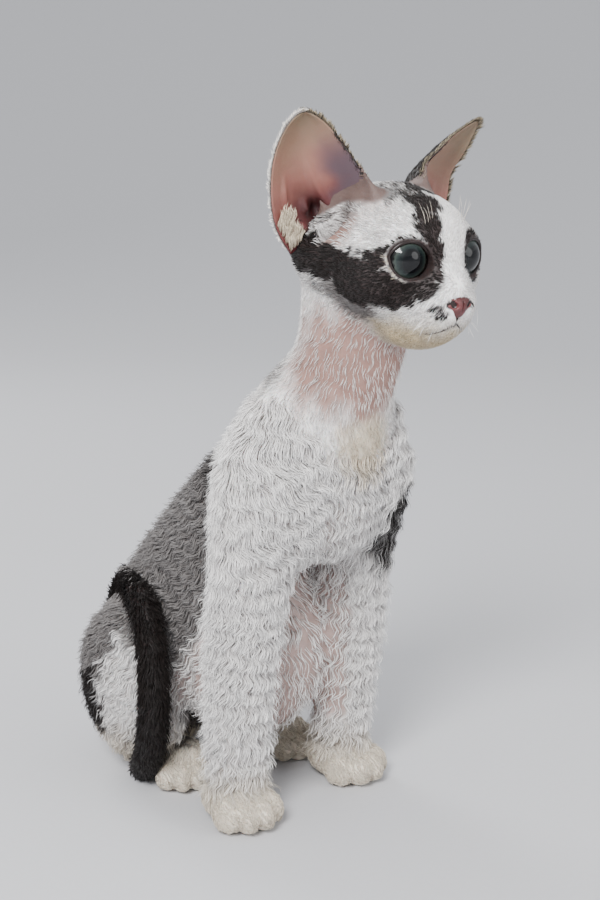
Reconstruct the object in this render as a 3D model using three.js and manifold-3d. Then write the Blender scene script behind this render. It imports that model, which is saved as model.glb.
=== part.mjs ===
// Devon Rex kitten, sitting upright: a still, life-size model.
// Millimetres, +Z up. The kitten's chest faces -Y and its left side is +X.
//
// The body is one smooth form, written as a field: a function that gives the distance of a
// point from the surface, negative inside. Ellipsoids and tapered limbs are blended into it.
// Each part is the skin of that field, taken on a lattice of its own, and thin cuts of the
// width `gap` part it from its neighbours.

import * as THREE from 'three';
import { mergeVertices } from 'three/addons/utils/BufferGeometryUtils.js';
import Module from 'manifold-3d';

const wasm = await Module();
wasm.setup();

// Driving sizes

const gap = 0.3; // between two pieces that touch
const farAway = 400; // size of a block that cuts off all that lies beyond a plane
const sides = [{ side: -1, name: 'right' }, { side: 1, name: 'left' }];

const headCentre = [-1.4, -85, 230];
const headTurn = turned(-8.7, 5, 0.5);
const headFrame = new THREE.Matrix4().makeTranslation(...headCentre).multiply(headTurn);

const eye = {
  centre: [11.9, -11.2, 0.5], // in the head's frame, mirrored for the other eye
  radius: 10.4,
  lidRadius: 11.7,
  openingShift: 0.6, // of the opening's middle, sideways
  outward: 15, // degrees that the opening looks away from straight ahead
  slant: 11, // degrees that its outer corner is raised
  arcRadius: 8.3, // upper and lower lid edges are arcs of this radius
  arcOffset: 1.6, // whose centres lie this far below and above the eye's middle
};

const forepaws = {
  right: { sole: [-31, -26, 8], yaw: -14 },
  left: { sole: [32, -24, 8], yaw: -4 },
};
const hindpaws = {
  right: { toe: [-21.5, 19.5, 7.2], heel: [-8, 47, 7.6] },
  left: { toe: [31, 12, 7.2], heel: [29, 50, 7.6] },
};
const hindpawScale = 0.9; // against a forepaw
const elbowLevel = 100; // the foreleg is parted from the upper arm here
const wristLevel = 26; // and the paw from the foreleg here
const neckTop = { at: [-0.7, -66, 205], lean: 33 }; // cut between head and neck
const neckFoot = { at: [0, -47, 172], lean: 33 }; // cut between neck and torso

// Blends and turns

function turned(yaw, pitch, roll) {
  const [x, y, z] = [pitch, roll, yaw].map(THREE.MathUtils.degToRad);
  return new THREE.Matrix4().makeRotationFromEuler(new THREE.Euler(x, y, z, 'ZXY'));
}

function smoothMin(a, b, width) {
  const share = Math.max(width - Math.abs(a - b), 0) / width;
  return Math.min(a, b) - share * share * width / 4;
}

function blend(width, ...fields) {
  return p => fields.reduce((value, field) => smoothMin(value, field(p), width), Infinity);
}

// The same field moved out by a distance, to cut room for a neighbour
function grown(field, by = gap) {
  return p => field(p) - by;
}

// Fields. Each returns a function of a point [x, y, z].

function ellipsoid(centre, radii, turn = null) {
  const toAxes = turn ? turn.clone().transpose() : null;
  const local = new THREE.Vector3();
  return p => {
    local.set(p[0] - centre[0], p[1] - centre[1], p[2] - centre[2]);
    if (toAxes) local.applyMatrix4(toAxes);
    const [x, y, z] = local.toArray();
    const near = Math.hypot(x / radii[0], y / radii[1], z / radii[2]);
    const slope = Math.hypot(x / radii[0] ** 2, y / radii[1] ** 2, z / radii[2] ** 2);
    return slope < 1e-9 ? -Math.min(...radii) : near * (near - 1) / slope;
  };
}

function taperedLimb(from, to, radiusFrom, radiusTo) {
  const along = to.map((value, axis) => value - from[axis]);
  const lengthSquared = along.reduce((sum, value) => sum + value * value, 0);
  return p => {
    const offset = p.map((value, axis) => value - from[axis]);
    const dot = offset.reduce((sum, value, axis) => sum + value * along[axis], 0);
    const share = THREE.MathUtils.clamp(dot / lengthSquared, 0, 1);
    const away = Math.hypot(...offset.map((value, axis) => value - along[axis] * share));
    return away - THREE.MathUtils.lerp(radiusFrom, radiusTo, share);
  };
}

function curveThrough(points) {
  const places = points.map(point => new THREE.Vector3(...point));
  return new THREE.CatmullRomCurve3(places, false, 'catmullrom', 0.5);
}

// A limb that bends and tapers smoothly through its joints, of many short tapered lengths
function limb(...joints) {
  const route = curveThrough(joints.map(({ at }) => at));
  const thickness = curveThrough(joints.map(({ radius }) => [radius, 0, 0]));
  const count = 5 * (joints.length - 1);
  const lengths = Array.from({ length: count }, (_, index) => {
    const [from, to] = [index / count, (index + 1) / count];
    const [start, end] = [route.getPoint(from).toArray(), route.getPoint(to).toArray()];
    return taperedLimb(start, end, thickness.getPoint(from).x, thickness.getPoint(to).x);
  });
  return p => Math.min(...lengths.map(length => length(p)));
}

// A field given in a frame of its own. On the head it is mirrored to both sides.
function inFrame(frame, field, mirrored = false) {
  const toLocal = frame.clone().invert();
  const local = new THREE.Vector3();
  return p => {
    local.set(...p).applyMatrix4(toLocal);
    return field([mirrored ? Math.abs(local.x) : local.x, local.y, local.z]);
  };
}

function fromHead(x, y, z) {
  return new THREE.Vector3(x, y, z).applyMatrix4(headFrame).toArray();
}

// Head, in its own frame: the nose points to -Y.

const cranium = ellipsoid([0, 7, 1.5], [24, 29, 22.5]);
const cheekbone = ellipsoid([17.5, -3, -9], [10, 14, 11]);
const brow = ellipsoid([0, -11.2, 6], [15, 12.6, 12]);
const earRoot = ellipsoid([19, 22, -3], [12, 14, 12]);
const noseBridge = taperedLimb([0, -16, -1.5], [0, -26, -9.8], 7, 4.6);
const whiskerPad = ellipsoid([4.2, -21.8, -15], [6.5, 7.8, 6]);
const chin = ellipsoid([0, -20.6, -21], [6.8, 6.4, 5]);
const throat = taperedLimb([0, -16, -15], [0, 10, -10], 12.5, 18);
const jaw = ellipsoid([0, -7, -25], [11, 13, 9]);
const lids = ellipsoid(eye.centre, [eye.lidRadius, eye.lidRadius, eye.lidRadius]);

const skull = blend(8, blend(9, blend(12, cranium, cheekbone), brow), earRoot, noseBridge);
const face = blend(8, blend(12, blend(5, skull, whiskerPad, chin), throat), jaw);
const head = inFrame(headFrame, blend(3, face, lids), true);

const noseLeather = inFrame(headFrame, blend(2,
  ellipsoid([0, -30, -13.2], [6, 3.4, 3]),
  ellipsoid([0, -29.8, -15.8], [2.8, 2.8, 2.8])));

// Neck, trunk and legs

const neck = limb(
  { at: fromHead(0, 23, -6), radius: 22.5 },
  { at: [0, -57, 190], radius: 21 },
  { at: [0, -43, 165], radius: 24 });
const back = limb(
  { at: [0, -24, 150], radius: 21 },
  { at: [0, -8, 126], radius: 26 },
  { at: [0, 20, 94], radius: 28.5 },
  { at: [0, 48, 62], radius: 28 },
  { at: [0, 60, 42], radius: 26 });
const chest = ellipsoid([0, -41, 142], [28, 24, 36]);
const belly = ellipsoid([0, 2, 64], [32, 36, 42]);
const rump = ellipsoid([0, 60, 22], [24, 22, 22.6]);
const thigh = { centre: [29, 41.5, 41], radii: [15, 30, 34], turn: turned(0, -12, 0) };

function shoulder(side) {
  return ellipsoid([side * 23, -38, 141], [14, 19, 32], turned(0, 12, 0));
}

function armJoints(side, { sole }) {
  return [
    { at: [side * 27, -38, 138], radius: 18.5 },
    { at: [side * 29.5, -31, 98], radius: 14.5 },
    { at: [side * 31, -27, 58], radius: 12.4 },
    { at: [sole[0] - side, sole[1] + 2, 24], radius: 11 },
  ];
}

function foreleg(side, paw) {
  return blend(12, shoulder(side), limb(...armJoints(side, paw)));
}

// The shoulder and upper arm alone, down to a rounded stub that lies inside the foreleg
function upperArm(side, paw) {
  const leg = foreleg(side, paw);
  const stub = 20;
  return p => -smoothMin(-leg(p), p[2] - elbowLevel + stub, 8);
}

function haunch(side) {
  return ellipsoid([side * thigh.centre[0], thigh.centre[1], thigh.centre[2]], thigh.radii, thigh.turn);
}

const trunk = blend(16, back, chest, belly, rump);
const torso = sides.reduce((form, { side, name }) => {
  return blend(8, blend(12, form, upperArm(side, forepaws[name])), haunch(side));
}, trunk);
const wholeBody = blend(8, blend(16, torso, neck), head);

// Paws: a rounded pad with four toes side by side.

const pawPad = { centre: [0, 2, 1.5], radii: [13.8, 14.5, 10] };
const toePlaces = [[-9.6, -8], [-3.5, -12.3], [3.5, -12.3], [9.6, -8]];
const toeRadii = [5, 7.8, 6.8];
const toeDrop = -1.5;

function paw(centre, yaw, scale = 1) {
  const sized = values => values.map(value => value * scale);
  const pad = ellipsoid(sized(pawPad.centre), sized(pawPad.radii));
  const toeForms = toePlaces.map(place => ellipsoid(sized([...place, toeDrop]), sized(toeRadii)));
  const frame = new THREE.Matrix4().makeTranslation(...centre).multiply(turned(yaw, 0, 0));
  return inFrame(frame, blend(2.2, pad, ...toeForms));
}

function hindFoot({ toe, heel }) {
  const yaw = THREE.MathUtils.radToDeg(Math.atan2(toe[0] - heel[0], heel[1] - toe[1]));
  const instep = taperedLimb(heel, toe, 8, 7.6);
  return blend(5, instep, paw(toe, yaw, hindpawScale));
}

// Skin of a field: one vertex in each lattice cell that the surface crosses, moved onto the
// surface, and one face across each lattice edge that pierces it. The lattice's outermost
// points count as outside, so the skin is closed, also where the form goes on, and so do
// those that the surface only just touches, so that no face is tiny.

const touching = 0.2;

function evenly(low, high, step) {
  const count = Math.ceil((high - low) / step);
  return Array.from({ length: count + 1 }, (_, index) => low + (high - low) * index / count);
}

// Planes whose spacing grows by a factor from one to the next
function widening(low, high, firstStep, growth) {
  const places = [low];
  for (let step = firstStep; places.at(-1) < high; step *= growth) places.push(places.at(-1) + step);
  return places;
}

function lattice(low, high, step) {
  return { planes: low.map((value, axis) => evenly(value, high[axis], step[axis])) };
}

function skinOf(field, { planes, frame = new THREE.Matrix4() }) {
  const counts = planes.map(places => places.length);
  const strides = [1, counts[0], counts[0] * counts[1]];
  const placed = new THREE.Vector3();
  const onPlanes = (value, axis) => {
    const lower = Math.min(Math.floor(value), counts[axis] - 2);
    return THREE.MathUtils.lerp(planes[axis][lower], planes[axis][lower + 1], value - lower);
  };
  const world = place => placed.set(...place.map(onPlanes)).applyMatrix4(frame).toArray();
  const isRim = (cell, last) => cell.some((value, axis) => value === 0 || value === counts[axis] - last);

  const levels = new Float64Array(counts[0] * counts[1] * counts[2]);
  forEachCell(counts, cell => {
    const level = field(world(cell));
    const outside = isRim(cell, 1) || Math.abs(level) < touching;
    levels[indexOf(cell, strides)] = outside ? Math.max(level, touching) : level;
  });

  const cells = counts.map(count => count - 1);
  const vertices = [];
  const vertexOf = new Map();
  forEachCell(cells, cell => {
    const middle = crossingMiddle(cell, levels, strides);
    if (!middle) return;
    const point = world(middle);
    vertexOf.set(indexOf(cell, strides), vertices.length / 3);
    vertices.push(...(isRim(cell, 2) ? point : ontoSurface(field, point)));
  });

  const triangles = [];
  forEachCell(cells, cell => {
    for (const axis of [0, 1, 2]) {
      const [across, up] = [(axis + 1) % 3, (axis + 2) % 3];
      if (cell[across] === 0 || cell[up] === 0) continue;
      const here = indexOf(cell, strides);
      const inside = levels[here] < 0;
      if (inside === levels[here + strides[axis]] < 0) continue;
      const around = [0, strides[across], strides[across] + strides[up], strides[up]];
      const corners = around.map(back => vertexOf.get(here - back));
      pushQuad(triangles, vertices, inside ? corners : corners.reverse());
    }
  });
  return solidFrom(vertices, triangles);
}

function forEachCell([nx, ny, nz], visit) {
  for (let k = 0; k < nz; k += 1) {
    for (let j = 0; j < ny; j += 1) {
      for (let i = 0; i < nx; i += 1) visit([i, j, k]);
    }
  }
}

function indexOf(cell, strides) {
  return cell.reduce((sum, value, axis) => sum + value * strides[axis], 0);
}

// Mean of the points where the surface crosses the twelve edges of a cell, in lattice steps
function crossingMiddle(cell, levels, strides) {
  const total = [0, 0, 0];
  let crossings = 0;
  for (const axis of [0, 1, 2]) {
    for (const [across, up] of [[0, 0], [1, 0], [0, 1], [1, 1]]) {
      const start = [...cell];
      start[(axis + 1) % 3] += across;
      start[(axis + 2) % 3] += up;
      const from = levels[indexOf(start, strides)];
      const to = levels[indexOf(start, strides) + strides[axis]];
      if (from < 0 === to < 0) continue;
      start[axis] += from / (from - to);
      start.forEach((value, index) => { total[index] += value; });
      crossings += 1;
    }
  }
  return crossings ? total.map(value => value / crossings) : null;
}

function ontoSurface(field, start) {
  const probe = 0.05;
  const farthest = 0.6;
  let point = start;
  for (let pass = 0; pass < 2; pass += 1) {
    const level = field(point);
    const slope = slopeOf(field, point, level, probe);
    const steepness = slope.reduce((sum, value) => sum + value * value, 0);
    const shift = THREE.MathUtils.clamp(level / Math.max(steepness, 0.1), -farthest, farthest);
    point = point.map((value, axis) => value - slope[axis] * shift);
  }
  return point;
}

function slopeOf(field, point, level, probe) {
  return point.map((_, axis) => {
    const ahead = point.map((value, index) => value + (index === axis ? probe : 0));
    return (field(ahead) - level) / probe;
  });
}

// A quad becomes two triangles along its shorter diagonal.
function pushQuad(triangles, vertices, [a, b, c, d]) {
  const corner = index => new THREE.Vector3().fromArray(vertices, 3 * index);
  const shorter = corner(a).distanceTo(corner(c)) < corner(b).distanceTo(corner(d));
  if (shorter) triangles.push(a, b, c, a, c, d);
  else triangles.push(b, c, d, b, d, a);
}

// Solids: joins and cuts

function solidFrom(vertices, triangles) {
  const [vertProperties, triVerts] = [new Float32Array(vertices), new Uint32Array(triangles)];
  const mesh = { numProp: 3, vertProperties, triVerts };
  return new wasm.Manifold(new wasm.Mesh(mesh));
}

function solidOf(geometry) {
  const bare = geometry.clone();
  bare.deleteAttribute('normal');
  bare.deleteAttribute('uv');
  const merged = mergeVertices(bare, 1e-4);
  return solidFrom(merged.attributes.position.array, merged.index.array);
}

// A block that fills the space on the side of a plane that `facing` points to
function blockBeyond(point, facing) {
  const normal = new THREE.Vector3(...facing).normalize();
  const block = new THREE.BoxGeometry(farAway, farAway, farAway);
  block.translate(0, 0, farAway / 2);
  block.applyQuaternion(new THREE.Quaternion().setFromUnitVectors(new THREE.Vector3(0, 0, 1), normal));
  return solidOf(block.translate(...point).translate(...normal.multiplyScalar(gap / 2)));
}

const above = level => blockBeyond([0, 0, level], [0, 0, 1]);
const below = level => blockBeyond([0, 0, level], [0, 0, -1]);
const overFloor = above(-gap / 2);

function upNeck({ at, lean }) {
  const angle = THREE.MathUtils.degToRad(lean);
  return blockBeyond(at, [0, -Math.sin(angle), Math.cos(angle)]);
}

function downNeck({ at, lean }) {
  const angle = THREE.MathUtils.degToRad(lean);
  return blockBeyond(at, [0, Math.sin(angle), -Math.cos(angle)]);
}

function largest(solid) {
  return solid.decompose().reduce((best, piece) => (piece.volume() > best.volume() ? piece : best));
}

function ball(centre, radius, around = 12, down = 9) {
  return solidOf(new THREE.SphereGeometry(radius, around, down).rotateX(Math.PI / 2).translate(...centre));
}

// Ears: a cupped shell between an inner and an outer edge, bulging back between them.

const ear = {
  cupDepths: [14, 11, 7, 3, 0.3],
  cupPlaces: [0, 0.3, 0.6, 0.85, 1], // shares of the way from root to tip
  back: new THREE.Vector3(-0.45, 0.88, -0.1).normalize(),
  thickness: 1.3,
  rows: 9,
  columns: 7,
  lastRow: 0.97, // the tip is a short rounded edge, not a point
};
// Edges from root to tip, with x measured outwards. The left ear leans further out.
const earEdges = {
  right: {
    inner: [[12, 4, 19], [18, 6, 28.5], [25, 8.5, 37.5], [32, 10.5, 44.8], [39.5, 12.5, 48]],
    outer: [[35, 22, -3], [42, 22, 7], [46, 20.5, 19], [47.3, 18, 32], [45, 14.5, 43], [39.5, 12.5, 48]],
  },
  left: {
    inner: [[12.2, 6.2, 20.4], [16.4, 11.3, 29.2], [24.5, 13.7, 34.7], [34, 15.2, 40.7], [44.9, 16.2, 44.8]],
    outer: [[31.5, 24.6, -5.2], [38.9, 26.5, 4.2], [42.3, 27.3, 15.1], [42.5, 26.3, 24.1], [43.9, 20.9, 33.5],
      [44.9, 16.2, 44.8]],
  },
};

// The value at t of a line through given values at given places
function between(values, places, t) {
  const next = Math.max(1, places.findIndex(place => place >= t));
  const share = (t - places[next - 1]) / (places[next] - places[next - 1]);
  return THREE.MathUtils.lerp(values[next - 1], values[next], share);
}

function earSheet(side, name) {
  const inner = curveThrough(earEdges[name].inner);
  const outer = curveThrough(earEdges[name].outer);
  return (t, s) => {
    const point = inner.getPoint(t).lerp(outer.getPoint(t), s);
    point.addScaledVector(ear.back, between(ear.cupDepths, ear.cupPlaces, t) * 4 * s * (1 - s));
    point.x *= side;
    return point.applyMatrix4(headFrame);
  };
}

function earSolid(side, name) {
  const sheet = earSheet(side, name);
  const near = 0.01;
  const vertices = [];
  for (const lift of [-ear.thickness / 2, ear.thickness / 2]) {
    for (let row = 0; row <= ear.rows; row += 1) {
      const t = ear.lastRow * row / ear.rows;
      for (let column = 0; column <= ear.columns; column += 1) {
        const s = column / ear.columns;
        const up = sheet(Math.min(t + near, 1), s).sub(sheet(Math.max(t - near, 0), s));
        const across = sheet(t, Math.min(s + near, 1)).sub(sheet(t, Math.max(s - near, 0)));
        const normal = up.cross(across).normalize();
        vertices.push(...sheet(t, s).addScaledVector(normal, lift).toArray());
      }
    }
  }
  return solidFrom(vertices, shellFaces(ear.rows, ear.columns));
}

// Faces of a closed shell: two grids of rows and columns, one after the other, and their rim
function shellFaces(rows, columns) {
  const width = columns + 1;
  const second = (rows + 1) * width;
  const triangles = [];
  const pushFace = (a, b, c, d) => triangles.push(a, b, c, a, c, d);
  for (let row = 0; row < rows; row += 1) {
    for (let column = 0; column < columns; column += 1) {
      const corner = row * width + column;
      pushFace(corner, corner + 1, corner + width + 1, corner + width);
      pushFace(second + corner, second + corner + width, second + corner + width + 1, second + corner + 1);
    }
  }
  const rim = [];
  for (let column = 0; column < columns; column += 1) rim.push(column);
  for (let row = 0; row < rows; row += 1) rim.push(row * width + columns);
  for (let column = columns; column > 0; column -= 1) rim.push(rows * width + column);
  for (let row = rows; row > 0; row -= 1) rim.push(row * width);
  rim.forEach((corner, index) => {
    const next = rim[(index + 1) % rim.length];
    pushFace(corner, second + corner, second + next, next);
  });
  return triangles;
}

// Tail: a round tube along a curve, from the rump, over the right haunch and down to the floor.

const tail = {
  path: [
    [0, 78, 30], [0, 85, 47], [-4, 78, 64], [-14, 60, 78], [-26, 43, 83], [-37, 24, 79],
    [-43.5, 12, 68], [-46.5, 7, 50], [-44.5, 11, 32], [-39, 20.5, 16], [-32.5, 32.5, 4.9],
  ],
  radii: [8, 7.6, 7, 6.6, 6.4, 6.2, 6.1, 6, 5.8, 5.6, 4.8],
  cuts: [0, 0.36, 0.68, 1], // shares of the way where its lengths are parted
  rings: 22,
  around: 10,
};

function tailLength(from, to, growth = 0) {
  const curve = curveThrough(tail.path);
  const frameCount = 200;
  const { normals, binormals } = curve.computeFrenetFrames(frameCount, false);
  const radiusPlaces = tail.radii.map((_, index) => index / (tail.radii.length - 1));
  const clear = gap / 2 / curve.getLength();
  const [start, end] = [Math.max(from + clear, 0), Math.min(to - clear, 1)];
  const steps = Math.round((to - from) * tail.rings);
  const vertices = [curve.getPoint(start).toArray(), curve.getPoint(end).toArray()].flat();
  for (let step = 0; step <= steps; step += 1) {
    const t = THREE.MathUtils.lerp(start, end, step / steps);
    const row = Math.round(t * frameCount);
    const radius = between(tail.radii, radiusPlaces, t) + growth;
    for (let index = 0; index < tail.around; index += 1) {
      const angle = index / tail.around * Math.PI * 2;
      const point = curve.getPoint(t)
        .addScaledVector(normals[row], Math.cos(angle) * radius)
        .addScaledVector(binormals[row], Math.sin(angle) * radius);
      vertices.push(...point.toArray());
    }
  }
  return solidFrom(vertices, tubeFaces(steps, tail.around));
}

// Faces of a closed tube whose first two vertices are the middles of its ends
function tubeFaces(steps, around) {
  const triangles = [];
  for (let index = 0; index < around; index += 1) {
    const next = (index + 1) % around;
    const last = 2 + steps * around;
    triangles.push(0, 2 + next, 2 + index, 1, last + index, last + next);
    for (let step = 0; step < steps; step += 1) {
      const [a, b] = [2 + step * around + index, 2 + step * around + next];
      triangles.push(a, b, b + around, a, b + around, a + around);
    }
  }
  return triangles;
}

// Cuts in the face: the eye openings, the mouth line and the nostrils.

// A flat outline in the head's X and Z, pushed forward from a point by a depth
function forwardPrism(outline, depth, place, turn = new THREE.Matrix4()) {
  const prism = new THREE.ExtrudeGeometry(outline, { depth, bevelEnabled: false, curveSegments: 7 });
  prism.rotateX(Math.PI / 2).applyMatrix4(turn).translate(...place);
  return solidOf(prism.applyMatrix4(headFrame));
}

function eyeOpening(side) {
  const { arcRadius, arcOffset, centre, openingShift } = eye;
  const corner = Math.acos(arcOffset / arcRadius);
  const almond = new THREE.Shape();
  almond.absarc(0, -arcOffset, arcRadius, Math.PI / 2 - corner, Math.PI / 2 + corner);
  almond.absarc(0, arcOffset, arcRadius, 1.5 * Math.PI - corner, 1.5 * Math.PI + corner);
  const turn = turned(side * eye.outward, 0, -side * eye.slant);
  return forwardPrism(almond, 20, [side * (centre[0] + openingShift), centre[1], centre[2]], turn);
}

// Each half of the mouth follows the underside of the whisker pad, out to its corner.
const lip = { middle: [6.2, -16.2], radius: 7.8, from: -142.6, to: -75, groove: 0.75, steps: 7 };
const philtrum = { top: -17.6, foot: -20.9, steps: 2 };
const grooveSides = 5;

// The point of the face straight ahead of a place given by the head's X and Z
function onFace(x, z) {
  let [front, back] = [-45, -10];
  for (let pass = 0; pass < 30; pass += 1) {
    const y = (front + back) / 2;
    if (wholeBody(fromHead(x, y, z)) < 0) back = y;
    else front = y;
  }
  return fromHead(x, front, z);
}

function groove(places) {
  const curve = curveThrough(places.map(([x, z]) => onFace(x, z)));
  const steps = places.length - 1;
  const { normals, binormals } = curve.computeFrenetFrames(steps, false);
  const vertices = [...curve.getPoint(0).toArray(), ...curve.getPoint(1).toArray()];
  for (let step = 0; step <= steps; step += 1) {
    for (let index = 0; index < grooveSides; index += 1) {
      const angle = index / grooveSides * Math.PI * 2;
      const point = curve.getPoint(step / steps)
        .addScaledVector(normals[step], Math.cos(angle) * lip.groove)
        .addScaledVector(binormals[step], Math.sin(angle) * lip.groove);
      vertices.push(...point.toArray());
    }
  }
  return solidFrom(vertices, tubeFaces(steps, grooveSides));
}

function lipLine(side) {
  return groove(Array.from({ length: lip.steps + 1 }, (_, index) => {
    const angle = THREE.MathUtils.degToRad(THREE.MathUtils.lerp(lip.from, lip.to, index / lip.steps));
    const [x, z] = [lip.middle[0] + lip.radius * Math.cos(angle), lip.middle[1] + lip.radius * Math.sin(angle)];
    return [side * x, z];
  }));
}

function philtrumLine() {
  return groove(Array.from({ length: philtrum.steps + 1 }, (_, index) => (
    [0, THREE.MathUtils.lerp(philtrum.top, philtrum.foot, index / philtrum.steps)]
  )));
}

function nostril(side) {
  const hole = new THREE.SphereGeometry(1, 8, 5).scale(1, 2, 0.75);
  hole.applyMatrix4(turned(0, 0, side * 20)).translate(side * 3.1, -33, -13.4);
  return solidOf(hole.applyMatrix4(headFrame));
}

// Coat locks on the chest and shoulders: flat, tapered and wavy, each with its root and sides
// sunk in the body. A lock is laid over the surface step by step, down the lie of the coat.

const lock = {
  length: 24,
  width: 12,
  height: 1.8, // of its ridge over its sides
  depth: 1, // of its underside below its sides
  sunk: 0.6, // its root lies this far under the skin
  tipLift: 0.6, // and its tip this far over it
  wave: 2,
  fullness: [0.45, 0.95, 1, 0.75, 0.2], // of its width and height, step by step from root to tip
};
const lockRows = [
  { level: 152, count: 9, size: 1 },
  { level: 142, count: 9, size: 0.96 },
  { level: 132, count: 9, size: 0.92 },
  { level: 122, count: 9, size: 0.88 },
];
const lockMiddle = [0, -38]; // the rows run round this upright line
const lockArc = [165, 375]; // degrees, from the right shoulder round the chest to the left one

// Draws between 0 and 1 that come out the same every time
function seededDraws(seed) {
  let state = seed;
  return () => {
    state = (state * 1664525 + 1013904223) % 4294967296;
    return state / 4294967296;
  };
}

// The lie runs down the body, turned sideways by an angle in radians that ruffles the coat.
function coatLock(field, root, turn, size) {
  const steps = lock.fullness.length - 1;
  const point = new THREE.Vector3(...root);
  const vertices = [];
  lock.fullness.forEach((fullness, step) => {
    const share = step / steps;
    const at = point.toArray();
    const normal = new THREE.Vector3(...slopeOf(field, at, field(at), 0.5)).normalize();
    const down = new THREE.Vector3(0, 0, -1).projectOnPlane(normal).normalize().applyAxisAngle(normal, turn);
    const across = normal.clone().cross(down);
    const wave = Math.sin(share * Math.PI * 2) * lock.wave * size;
    const lift = THREE.MathUtils.lerp(-lock.sunk, lock.tipLift, share ** 2);
    const half = lock.width / 2 * size * fullness;
    for (const [aside, height] of [[half, 0], [0, lock.height * fullness], [-half, 0], [0, -lock.depth]]) {
      const onSkin = ontoSurface(field, point.clone().addScaledVector(across, wave + aside).toArray());
      vertices.push(...new THREE.Vector3(...onSkin).addScaledVector(normal, lift + height).toArray());
    }
    point.addScaledVector(down, lock.length * size / steps);
    point.fromArray(ontoSurface(field, ontoSurface(field, point.toArray())));
  });
  const ends = [0, vertices.length - 12].map(start => (
    [0, 1, 2].map(axis => (vertices[start + axis] + vertices[start + 6 + axis]) / 2)
  ));
  return solidFrom([...ends.flat(), ...vertices], tubeFaces(steps, 4));
}

// The body with rows of locks round the chest, each row staggered against the one above
function withLocks(solid, field) {
  const draw = seededDraws(5);
  const about = (value, spread) => value + (draw() - 0.5) * spread;
  const locks = lockRows.flatMap(({ level, count, size }, row) => (
    Array.from({ length: count }, (_, index) => {
      const share = (index + 0.5 * (row % 2) + about(0.25, 0.25)) / count;
      const angle = THREE.MathUtils.degToRad(THREE.MathUtils.lerp(...lockArc, share));
      const root = outward(field, [...lockMiddle, level], [Math.cos(angle), Math.sin(angle), 0]);
      root[2] += about(0, 3);
      return coatLock(field, ontoSurface(field, root), about(0, 0.7), about(size, 0.25));
    })
  ));
  return wasm.Manifold.union([solid, ...locks]);
}

// The point of the surface straight out from a point inside it
function outward(field, inside, direction) {
  let point = inside;
  for (let pass = 0; pass < 40; pass += 1) {
    const advance = -field(point) * 0.8;
    point = point.map((value, axis) => value + direction[axis] * advance);
  }
  return point;
}

// The parts

const headLattice = {
  planes: [evenly(-33, 33, 3.4), widening(-37, 44, 2.7, 1.07), evenly(-46, 29, 3.3)],
  frame: headFrame,
};
const nosePlanes = [evenly(-7, 7, 1.7), evenly(-36, -26, 1.7), evenly(-19, -6, 1.6)];
const noseLattice = { planes: nosePlanes, frame: headFrame };
const neckLattice = lattice([-34, -98, 150], [34, -12, 232], [6.8, 6.8, 8]);
const torsoLattice = lattice([-52, -74, -10.5], [52, 94, 188.5], [9.4, 9.4, 12]);

const solids = {};

const mouth = lipLine(1).add(lipLine(-1)).add(philtrumLine());
const noseForm = skinOf(noseLeather, noseLattice);
solids.head = skinOf(wholeBody, headLattice).intersect(upNeck(neckTop))
  .subtract(skinOf(grown(noseLeather), noseLattice))
  .subtract(mouth);
solids.nose = noseForm.subtract(nostril(1)).subtract(nostril(-1));

const headRoom = skinOf(grown(wholeBody, 2 * gap), headLattice);
for (const { side, name } of sides) {
  const eyeCentre = fromHead(side * eye.centre[0], eye.centre[1], eye.centre[2]);
  solids.head = solids.head.subtract(ball(eyeCentre, eye.radius + gap)).subtract(eyeOpening(side));
  solids[`eye_${name}`] = ball(eyeCentre, eye.radius);
  solids[`ear_${name}`] = earSolid(side, name).subtract(headRoom);
}

solids.neck = skinOf(wholeBody, neckLattice).intersect(downNeck(neckTop)).intersect(upNeck(neckFoot));
solids.torso = skinOf(wholeBody, torsoLattice).intersect(downNeck(neckFoot)).intersect(overFloor);

for (const { side, name } of sides) {
  const { sole, yaw } = forepaws[name];
  const [x, y] = sole;
  const legForm = foreleg(side, forepaws[name]);
  const pawForm = blend(5, legForm, paw(sole, yaw));
  const legLattice = lattice([x - 26, y - 36, 4], [x + 26, y + 36, 126], [5.2, 5.2, 13]);
  const pawLattice = lattice([x - 24, y - 32, -6], [x + 24, y + 28, 38], [4, 4, 4.4]);
  const leg = skinOf(legForm, legLattice);
  solids[`foreleg_${name}`] = leg.intersect(below(elbowLevel)).intersect(above(wristLevel));
  solids[`forepaw_${name}`] = skinOf(pawForm, pawLattice).intersect(below(wristLevel)).intersect(overFloor);
  const legRoom = skinOf(grown(legForm, 2 * gap), legLattice).intersect(below(elbowLevel + gap));
  solids.torso = solids.torso.subtract(legRoom);
}
solids.torso = withLocks(solids.torso, wholeBody);

const tailRoom = tailLength(0, 1, gap);

// The seam round a haunch is an ellipsoid a little larger than the thigh itself.
function haunchSeam(side, growth) {
  const around = 3 + growth;
  const seam = new THREE.SphereGeometry(1, 12, 8).rotateX(Math.PI / 2);
  seam.scale(...thigh.radii.map(radius => radius + around)).applyMatrix4(thigh.turn);
  return solidOf(seam.translate(side * thigh.centre[0], thigh.centre[1], thigh.centre[2]));
}

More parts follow.
